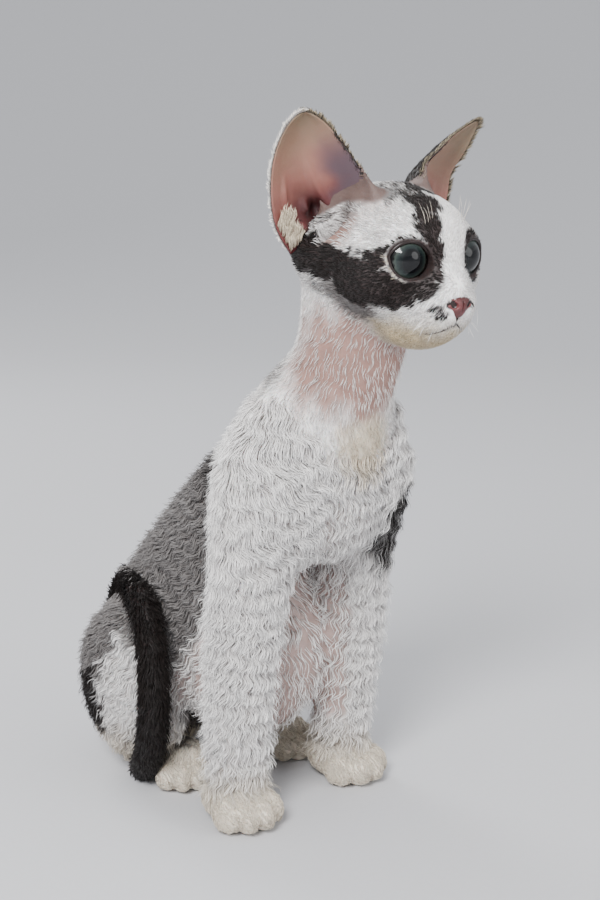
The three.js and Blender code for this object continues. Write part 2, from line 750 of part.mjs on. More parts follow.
for (const { side, name } of sides) {
  const { toe, heel } = hindpaws[name];
  const footForm = hindFoot(hindpaws[name]);
  const [xs, ys] = [[toe[0], heel[0]], [toe[1], heel[1]]];
  const low = [Math.min(...xs) - 22, Math.min(...ys) - 26, -8];
  const high = [Math.max(...xs) + 22, Math.max(...ys) + 16, 28];
  const footLattice = lattice(low, high, [4.3, 4.3, 4.3]);
  const footRoom = skinOf(grown(footForm), footLattice);
  solids[`hindfoot_${name}`] = skinOf(footForm, footLattice).intersect(overFloor).subtract(tailRoom);
  solids[`thigh_${name}`] = solids.torso.intersect(haunchSeam(side, 0)).subtract(footRoom).subtract(tailRoom);
  solids.torso = solids.torso.subtract(haunchSeam(side, gap)).subtract(footRoom);
}
solids.torso = solids.torso.subtract(tailRoom);

tail.cuts.slice(1).forEach((end, index) => {
  solids[`tail_${index + 1}`] = tailLength(tail.cuts[index], end).intersect(overFloor);
});

// Materials and meshes

const looks = {
  head: { color: '#8a8482', roughness: 0.85 },
  nose: { color: '#4d2929', roughness: 0.45 },
  eye: { color: '#272627', roughness: 0.1 },
  ear: { color: '#7c5d52', roughness: 0.8 },
  neck: { color: '#826861', roughness: 0.85 },
  torso: { color: '#dbd7d4', roughness: 0.9 },
  foreleg: { color: '#c9c5c0', roughness: 0.9 },
  forepaw: { color: '#d6d0c0', roughness: 0.9 },
  thigh: { color: '#b6b5b3', roughness: 0.9 },
  hindfoot: { color: '#d9d8d1', roughness: 0.9 },
  tail: { color: '#0a0a0b', roughness: 0.9 },
};

function geometryOf(solid) {
  const { vertProperties, triVerts } = largest(solid).getMesh();
  const geometry = new THREE.BufferGeometry();
  geometry.setAttribute('position', new THREE.BufferAttribute(vertProperties, 3));
  geometry.setIndex(new THREE.BufferAttribute(triVerts, 1));
  geometry.computeVertexNormals();
  return geometry;
}

const kitten = new THREE.Group();
for (const [name, solid] of Object.entries(solids)) {
  const look = looks[name.split('_')[0]];
  const material = new THREE.MeshStandardMaterial({ ...look, metalness: 0 });
  const mesh = new THREE.Mesh(geometryOf(solid), material);
  mesh.name = name;
  kitten.add(mesh);
}

// The origin is on the floor, under the middle of the whole kitten.
const bounds = new THREE.Box3().setFromObject(kitten);
const middle = bounds.getCenter(new THREE.Vector3());
kitten.position.set(-middle.x, -middle.y, -bounds.min.z);

export default kitten;
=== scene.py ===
# %% [markdown]
# # A Devon Rex kitten, sitting
# This script builds a still, life-size kitten: one closed skin worked out from distance formulas,
# two thin ears, glossy eyes, nose leather, and a coat of many small curved tufts.
#
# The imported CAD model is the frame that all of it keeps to. It says how large the kitten is, where
# its eyes sit and which solids each visible piece stands in for. Nothing else is read.

# %% The frame
from functools import reduce

import bpy
import numpy as np
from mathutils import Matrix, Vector


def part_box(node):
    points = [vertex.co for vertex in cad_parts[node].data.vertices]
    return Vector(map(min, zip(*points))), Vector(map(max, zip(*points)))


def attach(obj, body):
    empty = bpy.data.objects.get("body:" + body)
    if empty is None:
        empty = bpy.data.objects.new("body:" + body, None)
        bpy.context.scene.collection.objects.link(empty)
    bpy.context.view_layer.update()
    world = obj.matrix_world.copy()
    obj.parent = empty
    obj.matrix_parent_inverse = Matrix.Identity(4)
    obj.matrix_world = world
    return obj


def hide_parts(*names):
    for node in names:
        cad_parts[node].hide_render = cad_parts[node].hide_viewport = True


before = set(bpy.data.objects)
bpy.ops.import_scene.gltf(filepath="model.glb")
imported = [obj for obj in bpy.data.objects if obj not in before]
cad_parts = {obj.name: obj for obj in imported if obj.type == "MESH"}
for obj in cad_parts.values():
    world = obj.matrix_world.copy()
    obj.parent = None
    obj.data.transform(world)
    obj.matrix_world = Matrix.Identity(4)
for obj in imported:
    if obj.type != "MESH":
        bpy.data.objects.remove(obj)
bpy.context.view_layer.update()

MM = 0.001
SIDES = (("right", -1), ("left", 1))  # the kitten's right is -X
draw = np.random.default_rng(7)  # seeded, so that every run draws the same

# %% [markdown]
# ## Where the head is
# A head is easiest to shape while it looks straight ahead and both halves match. So it gets a frame
# of its own, turned a little to the kitten's right and up, and points are carried in and out of it.
# Parenting a straight head to a turned empty would do the same for meshes, but not for formulas.
#
# Lengths are millimetres, as in the CAD source. The model is centred over its floor point,
# so the eyeballs' boxes, compared with where the formulas put the eyes, give the shift.

# %% Head frame
def turned(yaw, pitch, roll):
    """Rotation matrix: roll about Y, then pitch about X, then yaw about Z, in degrees."""
    cos, sin = np.cos(np.radians([yaw, pitch, roll])), np.sin(np.radians([yaw, pitch, roll]))
    about_z = np.array([[cos[0], -sin[0], 0], [sin[0], cos[0], 0], [0, 0, 1]])
    about_x = np.array([[1, 0, 0], [0, cos[1], -sin[1]], [0, sin[1], cos[1]]])
    about_y = np.array([[cos[2], 0, sin[2]], [0, 1, 0], [-sin[2], 0, cos[2]]])
    return about_z @ about_x @ about_y


def unit(vectors):
    """Vectors divided by their lengths."""
    vectors = np.asarray(vectors, float)
    return vectors / np.maximum(np.linalg.norm(vectors, axis=-1, keepdims=True), 1e-9)


head_centre = np.array([-1.4, -85.0, 230.0])
head_turn = turned(-8.7, 5, 0.5)
eye_place = np.array([11.9, -11.2, 0.5])
eye_radius = 10.4


def from_head(points):
    """Points of the head's frame in the kitten's: turned, then moved to the head's centre."""
    return np.asarray(points, float) @ head_turn.T + head_centre


def to_head(points):
    """The way back: moved by the head's centre, then turned by the inverse."""
    return (points - head_centre) @ head_turn


def box_middle(node):
    """The middle of a solid's box in mm: half the sum of its two corners."""
    low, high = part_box(node)
    return np.array((low + high) / 2) / MM


shift = np.mean([box_middle("eye_" + name) - from_head(eye_place * [side, 1, 1])
                 for name, side in SIDES], axis=0)
print("shift of the kitten's coordinates, mm:", shift.round(3))

# %% [markdown]
# ## Distance formulas
# A field gives the distance of points from a surface, negative inside. On the real animal muscles
# slide under one skin, so there are no edges between chest, shoulder and leg. Joined meshes would
# need their seams smoothed by hand. Fields blend by themselves: near a meeting the smaller of two
# distances is lowered a little, and the surface runs on as a fillet.

# %% Basic fields
def smooth_min(a, b, width):
    """The lesser of two distances, rounded off where they differ by less than the width."""
    share = np.maximum(width - np.abs(a - b), 0) / width
    return np.minimum(a, b) - share * share * width / 4


def smooth_max(a, b, width):
    """The greater of two distances, rounded off: the lesser of the two negated, negated."""
    return -smooth_min(-a, -b, width)


def blend(width, *levels):
    """Several fields joined two by two with the smooth lesser of distances."""
    return reduce(lambda a, b: smooth_min(a, b, width), levels)


def length_of(q):
    """Length of each vector: the root of the sum of its squares."""
    return np.sqrt(np.einsum("...i,...i", q, q))


print("lesser of 1 and 2 mm, blended over 4 mm:", smooth_min(1.0, 2.0, 4.0))

# %% Ellipsoids and tapered lengths
def ellipsoid(p, centre, radii, turn=None):
    """Distance from an ellipsoid: k (k - 1) / g with k = |q / r| and g = |q / r^2|."""
    q = p - np.asarray(centre, float)
    q = q if turn is None else q @ turn
    near = length_of(q / np.asarray(radii, float))
    slope = length_of(q / np.asarray(radii, float) ** 2)
    return near * (near - 1) / np.maximum(slope, 1e-9)


def tapered(p, start, end, radius_start, radius_end):
    """Distance from the axis between two points, less a radius that changes along it."""
    along = np.asarray(end, float) - np.asarray(start, float)
    offset = p - np.asarray(start, float)
    share = np.clip(offset @ along / (along @ along), 0, 1)
    away = length_of(offset - share[..., None] * along)
    return away - (radius_start + (radius_end - radius_start) * share)


print("distance of the origin from a ball of 3 mm, 5 mm away:",
      ellipsoid(np.zeros((1, 3)), (5, 0, 0), (3, 3, 3)).round(3))

# %% Curves and limbs
def curve_at(points, t):
    """Catmull-Rom curve through the points, at shares t of the way from first to last."""
    points = np.asarray(points, float)
    padded = np.vstack([2 * points[0] - points[1], points, 2 * points[-1] - points[-2]])
    place = np.clip(np.asarray(t, float) * (len(points) - 1), 0, len(points) - 1 - 1e-9)
    index = place.astype(int)
    f = (place - index)[..., None]
    a, b, c, d = (padded[index + k] for k in range(4))
    return (2 * b + (c - a) * f + (2 * a - 5 * b + 4 * c - d) * f**2
            + (3 * b - a - 3 * c + d) * f**3) / 2


def limb(p, joints, radii):
    """A limb that bends and tapers through its joints: the least of many short tapered lengths."""
    count = 5 * (len(joints) - 1)
    t = np.linspace(0, 1, count + 1)
    at, radius = curve_at(joints, t), curve_at(np.array(radii, float)[:, None], t)[:, 0]
    lengths = [tapered(p, at[k], at[k + 1], radius[k], radius[k + 1]) for k in range(count)]
    return reduce(np.minimum, lengths)


# %% [markdown]
# ## The kitten's form
# Each part is one or more ellipsoids and tapered limbs along its bones: skull, cheeks, muzzle and
# jaw, a thin neck, a deep chest, a round rump, straight forelegs, folded hind legs, and a tail laid
# round the rump. Sculpting would give the same forms, but formulas can be asked for the distance
# at any point, which the coat needs to follow the body.

# %% Body parts
nape = from_head([0, 23, -6])
soles = {"right": (np.array([-31.0, -26.0, 8.0]), -14), "left": (np.array([32.0, -24.0, 8.0]), -4)}
hind = {"right": (np.array([-21.5, 19.5, 7.2]), np.array([-8.0, 47.0, 7.6])),
        "left": (np.array([31.0, 12.0, 7.2]), np.array([29.0, 50.0, 7.6]))}
tail_path = np.array([[0, 78, 30], [0, 85, 47], [-4, 78, 64], [-14, 60, 78], [-26, 43, 83],
                      [-37, 24, 79], [-43.5, 12, 68], [-46.5, 7, 50], [-44.5, 11, 32],
                      [-39, 20.5, 16], [-32.5, 32.5, 4.9]])
tail_radii = [8, 7.6, 7, 6.6, 6.4, 6.2, 6.1, 6, 5.8, 5.6, 4.8]
print("tail path:", len(tail_path), "points")


# %% Head and neck
def head_form(p):
    """Skull, cheeks, brow, muzzle and lids, the same on both sides of the head's middle plane."""
    q = to_head(p)
    q[..., 0] = np.abs(q[..., 0])
    skull = blend(12, ellipsoid(q, (0, 7, 1.5), (24, 29, 22.5)), ellipsoid(q, (17.5, -3, -9), (10, 14, 11)))
    skull = blend(9, skull, ellipsoid(q, (0, -11.2, 6), (15, 12.6, 12)))
    skull = blend(8, skull, ellipsoid(q, (19, 22, -3), (12, 14, 12)),
                  tapered(q, (0, -16, -1.5), (0, -26, -9.8), 7, 4.6))
    muzzle = blend(5, skull, ellipsoid(q, (4.2, -21.8, -15), (6.5, 7.8, 6)),
                   ellipsoid(q, (0, -20.6, -21), (6.8, 6.4, 5)))
    face = blend(12, muzzle, tapered(q, (0, -16, -15), (0, 10, -10), 12.5, 18))
    face = blend(8, face, ellipsoid(q, (0, -7, -25), (11, 13, 9)))
    return blend(3, face, length_of(q - eye_place) - 11.7)


def neck_form(p):
    """A limb from the nape to the chest."""
    return limb(p, [nape, (0, -57, 190), (0, -43, 165)], [22.5, 21, 24])


print("the head's middle is", -head_form(head_centre[None]).round(1)[0], "mm inside it")

# %% Trunk and limbs
def trunk_form(p):
    """A limb along the spine, blended with chest, belly and rump."""
    spine = [(0, -24, 150), (0, -8, 126), (0, 20, 94), (0, 48, 62), (0, 60, 42)]
    back = limb(p, spine, [21, 26, 28.5, 28, 26])
    return blend(16, back, ellipsoid(p, (0, -41, 142), (28, 24, 36)),
                 ellipsoid(p, (0, 2, 64), (32, 36, 42)), ellipsoid(p, (0, 60, 22), (24, 22, 22.6)))


def arm_form(p, name, side):
    """Shoulder and foreleg: an ellipsoid at the shoulder and a limb down to the paw."""
    sole = soles[name][0]
    joints = [(side * 27, -38, 138), (side * 29.5, -31, 98), (side * 31, -27, 58),
              (sole[0] - side, sole[1] + 2, 24)]
    return blend(12, ellipsoid(p, (side * 23, -38, 141), (14, 19, 32), turned(0, 12, 0)),
                 limb(p, joints, [18.5, 14.5, 12.4, 11]))


def thigh_form(p, side):
    """The folded hind leg's thigh, an ellipsoid turned a little forwards."""
    return ellipsoid(p, (side * 29, 41.5, 41), (15, 30, 34), turned(0, -12, 0))


# %% Paws and tail
def paw_form(p, sole, yaw, scale=1.0):
    """A rounded pad with four toes side by side."""
    q = (p - sole) @ turned(yaw, 0, 0) / scale
    pad = ellipsoid(q, (0, 2, 1.5), (13.8, 14.5, 10))
    toe_places = ((-9.6, -8), (-3.5, -12.3), (3.5, -12.3), (9.6, -8))
    toes = [ellipsoid(q, (x, y, -1.5), (5, 7.8, 6.8)) for x, y in toe_places]
    return blend(2.2, pad, *toes) * scale


def hind_form(p, name):
    """The hind foot: a tapered length from heel to toes, and the toes' pad."""
    toe, heel = hind[name]
    yaw = np.degrees(np.arctan2(toe[0] - heel[0], heel[1] - toe[1]))
    return blend(5, tapered(p, heel, toe, 8, 7.6), paw_form(p, toe, yaw, 0.9))


def tail_form(p):
    """A limb along the tail's path."""
    return limb(p, tail_path, tail_radii)


# %% The whole body
reach = 24  # mm beyond a part's box, past which it no longer touches the blend


def near_box(p, low, high, form):
    """A part's field, worked out only for points near its box. Far ones get a large distance."""
    near = np.all((p > np.array(low) - reach) & (p < np.array(high) + reach), axis=-1)
    level = np.full(len(p), 1000.0)
    level[near] = form(p[near])
    return level


def part_levels(p):
    """The field of each part by itself."""
    levels = {
        "head": near_box(p, (-34, -120, 195), (34, -45, 256), head_form),
        "neck": near_box(p, (-26, -90, 150), (26, -15, 235), neck_form),
        "trunk": near_box(p, (-34, -66, 0), (34, 84, 178), trunk_form),
        "tail": near_box(p, (-54, 0, 0), (10, 94, 92), tail_form),
    }
    for name, side in SIDES:
        x = side * 30
        sole, yaw = soles[name]
        levels["arm_" + name] = near_box(
            p, (x - 20, -62, 10), (x + 20, -10, 176), lambda q, n=name, s=side: arm_form(q, n, s))
        levels["thigh_" + name] = near_box(
            p, (x - 18, 5, 5), (x + 18, 78, 80), lambda q, s=side: thigh_form(q, s))
        levels["paw_" + name] = near_box(
            p, sole - 20, sole + 20, lambda q, s=sole, a=yaw: paw_form(q, s, a))
        levels["foot_" + name] = near_box(
            p, np.minimum(*hind[name]) - 16, np.maximum(*hind[name]) + 16,
            lambda q, n=name: hind_form(q, n))
    return levels


# %% Joining the parts
def joined(levels):
    """All parts in one smooth form."""
    body = levels["trunk"]
    for name, _ in SIDES:
        body = blend(8, blend(12, body, levels["arm_" + name]), levels["thigh_" + name])
    body = blend(8, blend(16, body, levels["neck"]), levels["head"])
    for name, _ in SIDES:
        body = blend(3, blend(5, body, levels["paw_" + name]), levels["foot_" + name])
    return blend(2, body, levels["tail"])


def body_level(p):
    """The whole body's field: the parts' fields, joined."""
    return joined(part_levels(p))


def smoothstep(value, low, high):
    """0 below low, 1 above high, and 3 x^2 - 2 x^3 between them."""
    share = np.clip((value - np.asarray(low)) / (np.asarray(high) - low), 0, 1)
    return share * share * (3 - 2 * share)


print("the rump's middle is", -body_level(np.array([[0, 48, 62.0]])).round(1)[0], "mm inside")

# %% The depth of the coat
def coat_depth(p):
    """How deep the skin lies under the tips of the coat, in mm: least on face and feet."""
    return 0.5 + 0.9 * smoothstep(p[..., 2], 18, 50) * (1 - smoothstep(p[..., 2], 175, 205))


# %% [markdown]
# ## The face's cuts
# Lids leave an almond between two arcs. The closed mouth is a fine groove under the whisker pads
# that turns up to the nose, and in front of each ear's base lies a shallow pit. A boolean would cut
# them with sharp edges. The greater of two distances, rounded off, cuts them with soft ones.

# %% Eye openings
lid_arc = 8.1  # mm, radius of each lid's arc
lid_offset = 1.5  # mm that each arc's centre lies past the almond's middle
lid_shift = -0.2  # mm of the almond's middle, sideways
eye_turn = turned(15, 0, -11)
floor_clear = 0.15  # mm between the floor and the lowest skin and hair


def almond_of(q):
    """How far points are outside the eye's almond, and their places across and up in its frame."""
    local = (q - eye_place - [lid_shift, 0, 0]) @ eye_turn
    x, y, z = local[..., 0], local[..., 1], local[..., 2]
    almond = np.maximum(np.hypot(x, z + lid_offset), np.hypot(x, z - lid_offset)) - lid_arc
    return almond, x, y, z


def eye_opening(q):
    """Almond between two arcs, in front of the eye's middle plane. q is mirrored to the left side."""
    almond, _, y, _ = almond_of(q)
    return np.maximum(almond, y)


# %% Mouth and ear pits
def face_gradient(p, step=0.05):
    """How the body's field rises along each axis: the change over a small step."""
    level = body_level(p)
    return np.stack([body_level(p + step * np.eye(3)[axis]) - level for axis in range(3)], axis=-1) / step


def onto_skin(points, passes=5):
    """Points moved along the slope onto the skin, which lies the coat's depth inside the body."""
    for _ in range(passes):
        slope = face_gradient(points)
        points = points - slope * ((body_level(points) + coat_depth(points))
                                   / np.maximum((slope**2).sum(axis=-1), 0.2))[:, None]
    return points


# %% The mouth's path
lip_route = [(0, -31, -20.9), (2.4, -30, -22.3), (5.2, -28, -23.7), (7.6, -25, -25), (9, -21.5, -26)]
lips = {name: onto_skin(from_head(curve_at(np.array(lip_route) * [side, 1, 1], np.linspace(0, 1, 13))))
        for name, side in SIDES}
philtrum = onto_skin(from_head([(0, -32, -17.4), (0, -31.5, -19.2), (0, -31, -20.9)]))


def groove_level(p, path, radius):
    """Distance from a path: the least of its straight lengths' distances."""
    return reduce(np.minimum, [tapered(p, a, b, radius, radius) for a, b in zip(path[:-1], path[1:])])


print("lips:", {name: len(path) for name, path in lips.items()}, "points")

# %% The pits by the ears
pit_up = unit([0.55, 0.085, 0.83])
pit_back = unit(np.array([-0.45, 0.88, -0.1]) - pit_up * (np.array([-0.45, 0.88, -0.1]) @ pit_up))
pit_turn = np.stack([np.cross(pit_back, pit_up), pit_back, pit_up], axis=1)


# %% The ears' sheets
# Each ear's inner and outer edge, in mm in the head's frame, on the side where x is positive.
ear_edges = {
    "right": ([(12, 4, 19), (18, 6, 28.5), (25, 8.5, 37.5), (32, 10.5, 44.8), (39.5, 12.5, 48)],
              [(35, 22, -3), (42, 22, 7), (46, 20.5, 19), (47.3, 18, 32), (45, 14.5, 43),
               (39.5, 12.5, 48)]),
    "left": ([(12.2, 6.2, 20.4), (16.4, 11.3, 29.2), (24.5, 13.7, 34.7), (34, 15.2, 40.7),
              (44.9, 16.2, 44.8)],
             [(31.5, 24.6, -5.2), (38.9, 26.5, 4.2), (42.3, 27.3, 15.1), (42.5, 26.3, 24.1),
              (43.9, 20.9, 33.5), (44.9, 16.2, 44.8)]),
}
ear_back = unit([-0.45, 0.88, -0.1])  # the way in which the cup bulges


def ear_edge(points, other, t):
    """A point of one edge, whose curve rounds the tip towards the other edge's last point but one."""
    closed = np.vstack([points, other[-2]])
    return curve_at(closed, np.asarray(t, float) * (len(points) - 1) / len(points))


def ear_sheet(t, s, name, side):
    """Point t of the way up and s of the way from inner to outer edge, bulging back between them."""
    inner, outer = ear_edges[name]
    first, second = ear_edge(inner, outer, t), ear_edge(outer, inner, t)
    depth = np.interp(t, [0, 0.3, 0.6, 0.85, 1], [14, 11, 7, 3, 0.3])
    s = np.asarray(s, float)
    q = first * (1 - s[..., None]) + second * s[..., None] + ear_back * (depth * 4 * s * (1 - s))[..., None]
    return from_head(q * [side, 1, 1])


def ear_normals(t, s, name, side):
    """Unit normals of the sheet, into its cup: the cross product of its two directions."""
    step = 0.004
    higher, lower = np.minimum(t + step, 1), np.maximum(t - step, 0)
    outer, inner = np.minimum(s + step, 1), np.maximum(s - step, 0)
    up = ear_sheet(higher, s, name, side) - ear_sheet(lower, s, name, side)
    over = ear_sheet(t, outer, name, side) - ear_sheet(t, inner, name, side)
    return unit(np.cross(over, up)) * side


# %% Where skin and ears meet
root_top, root_side = 0.36, 0.42  # how far up and across the sheet the skin still rises with it
root_t, root_s = [grid.ravel() for grid in np.meshgrid(np.linspace(0, root_top, 20),
                                                       np.linspace(0, root_side, 20))]
root_half = 0.1 + 0.9 * (1 - root_t / root_top) * (1 - root_s / root_side)  # mm, half its thickness
ear_roots = {name: (ear_sheet(root_t, root_s, name, side), ear_normals(root_t, root_s, name, side))
             for name, side in SIDES}


def ear_root_level(p):
    """Distance from the ears' lower sheets: from the plane of the nearest of many points of the sheet."""
    level = np.full(len(p), 1000.0)
    for places, normals in ear_roots.values():
        low, high = places.min(axis=0) - 8, places.max(axis=0) + 8
        near = np.flatnonzero(np.all((p > low) & (p < high), axis=1))
        for part in np.array_split(near, max(1, len(near) // 4000)):
            offset_square = ((p[part] ** 2).sum(axis=1)[:, None] + (places**2).sum(axis=1)
                             - 2 * p[part] @ places.T)
            nearest = np.argmin(offset_square, axis=1)
            offset = p[part] - places[nearest]
            off_plane = (offset * normals[nearest]).sum(axis=1)
            in_plane = np.sqrt(np.maximum((offset**2).sum(axis=1) - off_plane**2, 0))
            away = np.hypot(off_plane, np.maximum(in_plane - 0.9, 0)) - root_half[nearest]
            level[part] = np.minimum(level[part], away)
    return level


# %% The skin's field
def skin_level(p):
    """The body inside its coat, with eye openings, mouth line, ear pits and a flat underside."""
    level = body_level(p) + coat_depth(p)
    on_head = p[..., 2] > 195
    q = to_head(p[on_head])
    q[..., 0] = np.abs(q[..., 0])
    face = smooth_max(level[on_head], -ellipsoid(q, (26, 18, 11.5), (12, 6.5, 11), pit_turn), 3)
    face = smooth_min(face, ear_root_level(p[on_head]), 7)
    face = smooth_max(face, -eye_opening(q), 0.7)
    lines = [groove_level(p[on_head], path, 0.7) for path in (*lips.values(), philtrum)]
    level[on_head] = smooth_max(face, -reduce(np.minimum, lines), 0.7)
    return smooth_max(level, floor_clear - p[..., 2], 1.0)


print("lowest skin level on the floor:", skin_level(np.array([[0, 60, 0.0]])).round(2)[0], "mm")

# %% The slope of a field
def slope_of(field, p, step=0.05):
    """Gradient of a field by small steps along each axis."""
    here = field(p)
    ahead = [field(p + step * np.eye(3)[axis]) for axis in range(3)]
    return here, (np.stack(ahead, axis=-1) - here[..., None]) / step


# %% [markdown]
# ## From field to mesh
# A renderer needs faces. Surface nets make them: the field is taken on a lattice, each cell that the
# surface crosses gets one vertex, and each lattice edge that pierces the surface gets one face. The
# vertices then slide along the field's slope onto the surface. Metaballs mesh fields too, but only
# of their own few shapes. The lattice is finer over head and feet, where small forms are.

# %% Surface nets
BLOCK = 8  # lattice cells along each edge of a block


def planes_of(*stretches):
    """Lattice planes from stretches of (low, high, step), one after another."""
    runs = [np.linspace(low, high, int(np.ceil((high - low) / step)) + 1)[:-1]
            for low, high, step in stretches]
    return np.concatenate([*runs, [stretches[-1][1]]])


def lattice_levels(field, planes):
    """Levels at all lattice points, worked out only in blocks that the surface may cross."""
    shape = [len(axis) for axis in planes]
    levels = np.full(shape, 50.0)
    starts = [np.arange(0, count, BLOCK) for count in shape]
    cubes = np.stack(np.meshgrid(*starts, indexing="ij"), axis=-1).reshape(-1, 3)
    lows = np.stack([planes[k][cubes[:, k]] for k in range(3)], axis=-1)
    highs = np.stack([planes[k][np.minimum(cubes[:, k] + BLOCK, shape[k] - 1)] for k in range(3)], axis=-1)
    middle = field((lows + highs) / 2)
    half = length_of(highs - lows) / 2
    active = np.abs(middle) < half * 1.4 + 4
    inside = cubes[~active & (middle < 0)]
    for i, j, k in inside:
        levels[i:i + BLOCK, j:j + BLOCK, k:k + BLOCK] = -50.0
    steps = np.stack(np.meshgrid(*[np.arange(BLOCK)] * 3, indexing="ij"), axis=-1).reshape(-1, 3)
    index = (cubes[active][:, None] + steps).reshape(-1, 3)
    index = index[np.all(index < shape, axis=1)]
    points = np.stack([planes[k][index[:, k]] for k in range(3)], axis=-1)
    levels[tuple(index.T)] = field(points)
    return levels


# %% One vertex per cell, one face per pierced edge
def surface_net(field, planes):
    """Vertices and quads of the surface where the field is zero."""
    levels = lattice_levels(field, planes)
    shape = np.array(levels.shape)
    cell_shape = shape - 1
    rows, places, edges = [], [], []
    for axis in range(3):
        first = np.take(levels, range(shape[axis] - 1), axis=axis)
        second = np.take(levels, range(1, shape[axis]), axis=axis)
        at = np.argwhere((first < 0) != (second < 0))
        a, b = first[tuple(at.T)], second[tuple(at.T)]
        place = at.astype(float)
        place[:, axis] += a / (a - b)
        across, up = np.eye(3, dtype=int)[(axis + 1) % 3], np.eye(3, dtype=int)[(axis + 2) % 3]
        around = [at, at - across, at - across - up, at - up]
        kept = np.all([np.all((cell >= 0) & (cell < cell_shape), axis=1) for cell in around], axis=0)
        ids = np.stack([np.ravel_multi_index(cell[kept].T, cell_shape) for cell in around], axis=1)
        edges.append(np.where((a < 0)[kept][:, None], ids, ids[:, ::-1]))
        rows.append(ids.ravel())
        places.append(np.repeat(place[kept], 4, axis=0))
    rows, places, quads = np.concatenate(rows), np.concatenate(places), np.concatenate(edges)
    cells, inverse, counts = np.unique(rows, return_inverse=True, return_counts=True)
    mean = np.stack([np.bincount(inverse, places[:, k]) for k in range(3)], axis=-1) / counts[:, None]
    vertices = np.stack([np.interp(mean[:, k], np.arange(shape[k]), planes[k]) for k in range(3)], axis=-1)
    return vertices, np.searchsorted(cells, quads)


# %% Onto the surface
def settled(field, points, level=0.0, passes=2, farthest=0.4):
    """Points moved onto a level of the field by Newton steps of limited length."""
    for _ in range(passes):
        here, slope = slope_of(field, points)
        steepness = np.maximum((slope**2).sum(axis=-1), 0.2)
        move = np.clip((here - level) / steepness, -farthest, farthest)
        points = points - slope * move[..., None]
    return points


# %% Meshes in Blender
def mesh_object(name, vertices_mm, faces, smooth=True):
    """A mesh object at the origin, from vertices in the kitten's millimetres."""
    mesh = bpy.data.meshes.new(name)
    vertices = (np.asarray(vertices_mm, float) + shift) * MM
    faces = np.asarray(faces, np.int32)
    count, corners = faces.shape
    mesh.vertices.add(len(vertices))
    mesh.vertices.foreach_set("co", vertices.astype(np.float32).ravel())
    mesh.loops.add(count * corners)
    mesh.loops.foreach_set("vertex_index", faces.ravel())
    mesh.polygons.add(count)
    mesh.polygons.foreach_set("loop_start", np.arange(0, count * corners, corners, dtype=np.int32))
    mesh.polygons.foreach_set("use_smooth", np.full(count, smooth))
    mesh.update(calc_edges=True)
    mesh.validate()
    obj = bpy.data.objects.new(name, mesh)
    bpy.context.scene.collection.objects.link(obj)
    return obj


def add_colours(obj, name, values):
    """A point attribute of four shares, which a material reads by name."""
    layer = obj.data.attributes.new(name, "FLOAT_COLOR", "POINT")
    layer.data.foreach_set("color", np.asarray(values, np.float32).ravel())


# %% The skin's mesh
planes = [planes_of((-56, -40, 1.6), (-40, 40, 0.9), (40, 50, 1.6)),
          planes_of((-122, -52, 0.8), (-52, 96, 1.8)),
          planes_of((-1, 20, 1.2), (20, 194, 2.2), (194, 262, 0.8))]
skin_points, skin_quads = surface_net(skin_level, planes)
skin_points = settled(skin_level, skin_points)
print("skin:", len(skin_points), "vertices,", 2 * len(skin_quads), "triangles")

# %% [markdown]
# ## Noise
# Coats are never even. Value noise gives smooth random numbers over a distance: random numbers at
# the corners of cubes, eased from one to the next. The corners' numbers come from arithmetic on
# their places, so each run gives the same coat. Hair also gathers in locks, round random middles.

# %% Noise and locks
def hashed(cells, seed):
    """Random numbers from 0 to 1 for cells: their numbers times large primes, bits shuffled."""
    x, y, z = (cells[..., k].astype(np.uint64) for k in range(3))
    bits = x * np.uint64(73856093) ^ y * np.uint64(19349663) ^ z * np.uint64(83492791)
    bits = bits ^ np.uint64(seed * 2654435761)
    bits = (bits ^ (bits >> np.uint64(13))) * np.uint64(1274126177)
    bits = (bits ^ (bits >> np.uint64(16))) * np.uint64(2246822519)
    return ((bits >> np.uint64(15)) & np.uint64(65535)).astype(float) / 65535


print("a cell's random number:", hashed(np.zeros((1, 3), np.int64), 1).round(3)[0])

# %% Value noise
def noise(p, size, seed=1):
    """Smooth random numbers from -1 to 1 that change over a distance of about the size in mm."""
    scaled = np.asarray(p, float) / size + 500
    base = np.floor(scaled).astype(np.int64)
    f = scaled - base
    f = f * f * (3 - 2 * f)
    total = 0
    for corner in np.ndindex(2, 2, 2):
        weight = np.prod(np.where(corner, f, 1 - f), axis=-1)
        total = total + weight * hashed(base + np.array(corner), seed)
    return 2 * total - 1


# %% Middles of locks
def lock_middles(p, size, seed):
    """For each point, the nearest of many random points about one size apart: its lock's middle."""
    scaled = p / size + 500
    base = np.floor(scaled).astype(np.int64)
    best, middle = np.full(len(p), np.inf), np.zeros_like(p)
    for step in np.ndindex(3, 3, 3):
        cell = base + np.array(step) - 1
        candidate = cell + np.stack([hashed(cell, seed + k) for k in range(3)], axis=-1)
        away = length_of(candidate - scaled)
        closer = away < best
        best[closer], middle[closer] = away[closer], candidate[closer]
    return (middle - 500) * size


# %% [markdown]
# ## Markings
# The kitten is white with a black mask over its cheek and eyes, a grey flank and a black tail, and
# it is nearly bare on neck, belly and the inner sides of its legs. Painting would tie the patches to
# one mesh. Here each patch is an ellipsoid in space with a wandering edge. Skin and coat ask for the
# same shares of black, grey, bare and cream, so hair and skin match everywhere.

# %% Patches
def patch(p, centre, radii, edge=0.25, wander=0.25, size=4.0, seed=3, turn=None):
    """1 inside an ellipsoid, 0 outside, over a soft edge that wanders with noise."""
    q = p - np.asarray(centre, float)
    q = q if turn is None else q @ turn
    away = length_of(q / np.asarray(radii, float)) + wander * noise(p, size, seed)
    return 1 - smoothstep(away, 1 - edge, 1 + edge)


def most(*shares):
    """The greatest of several shares."""
    return reduce(np.maximum, shares)


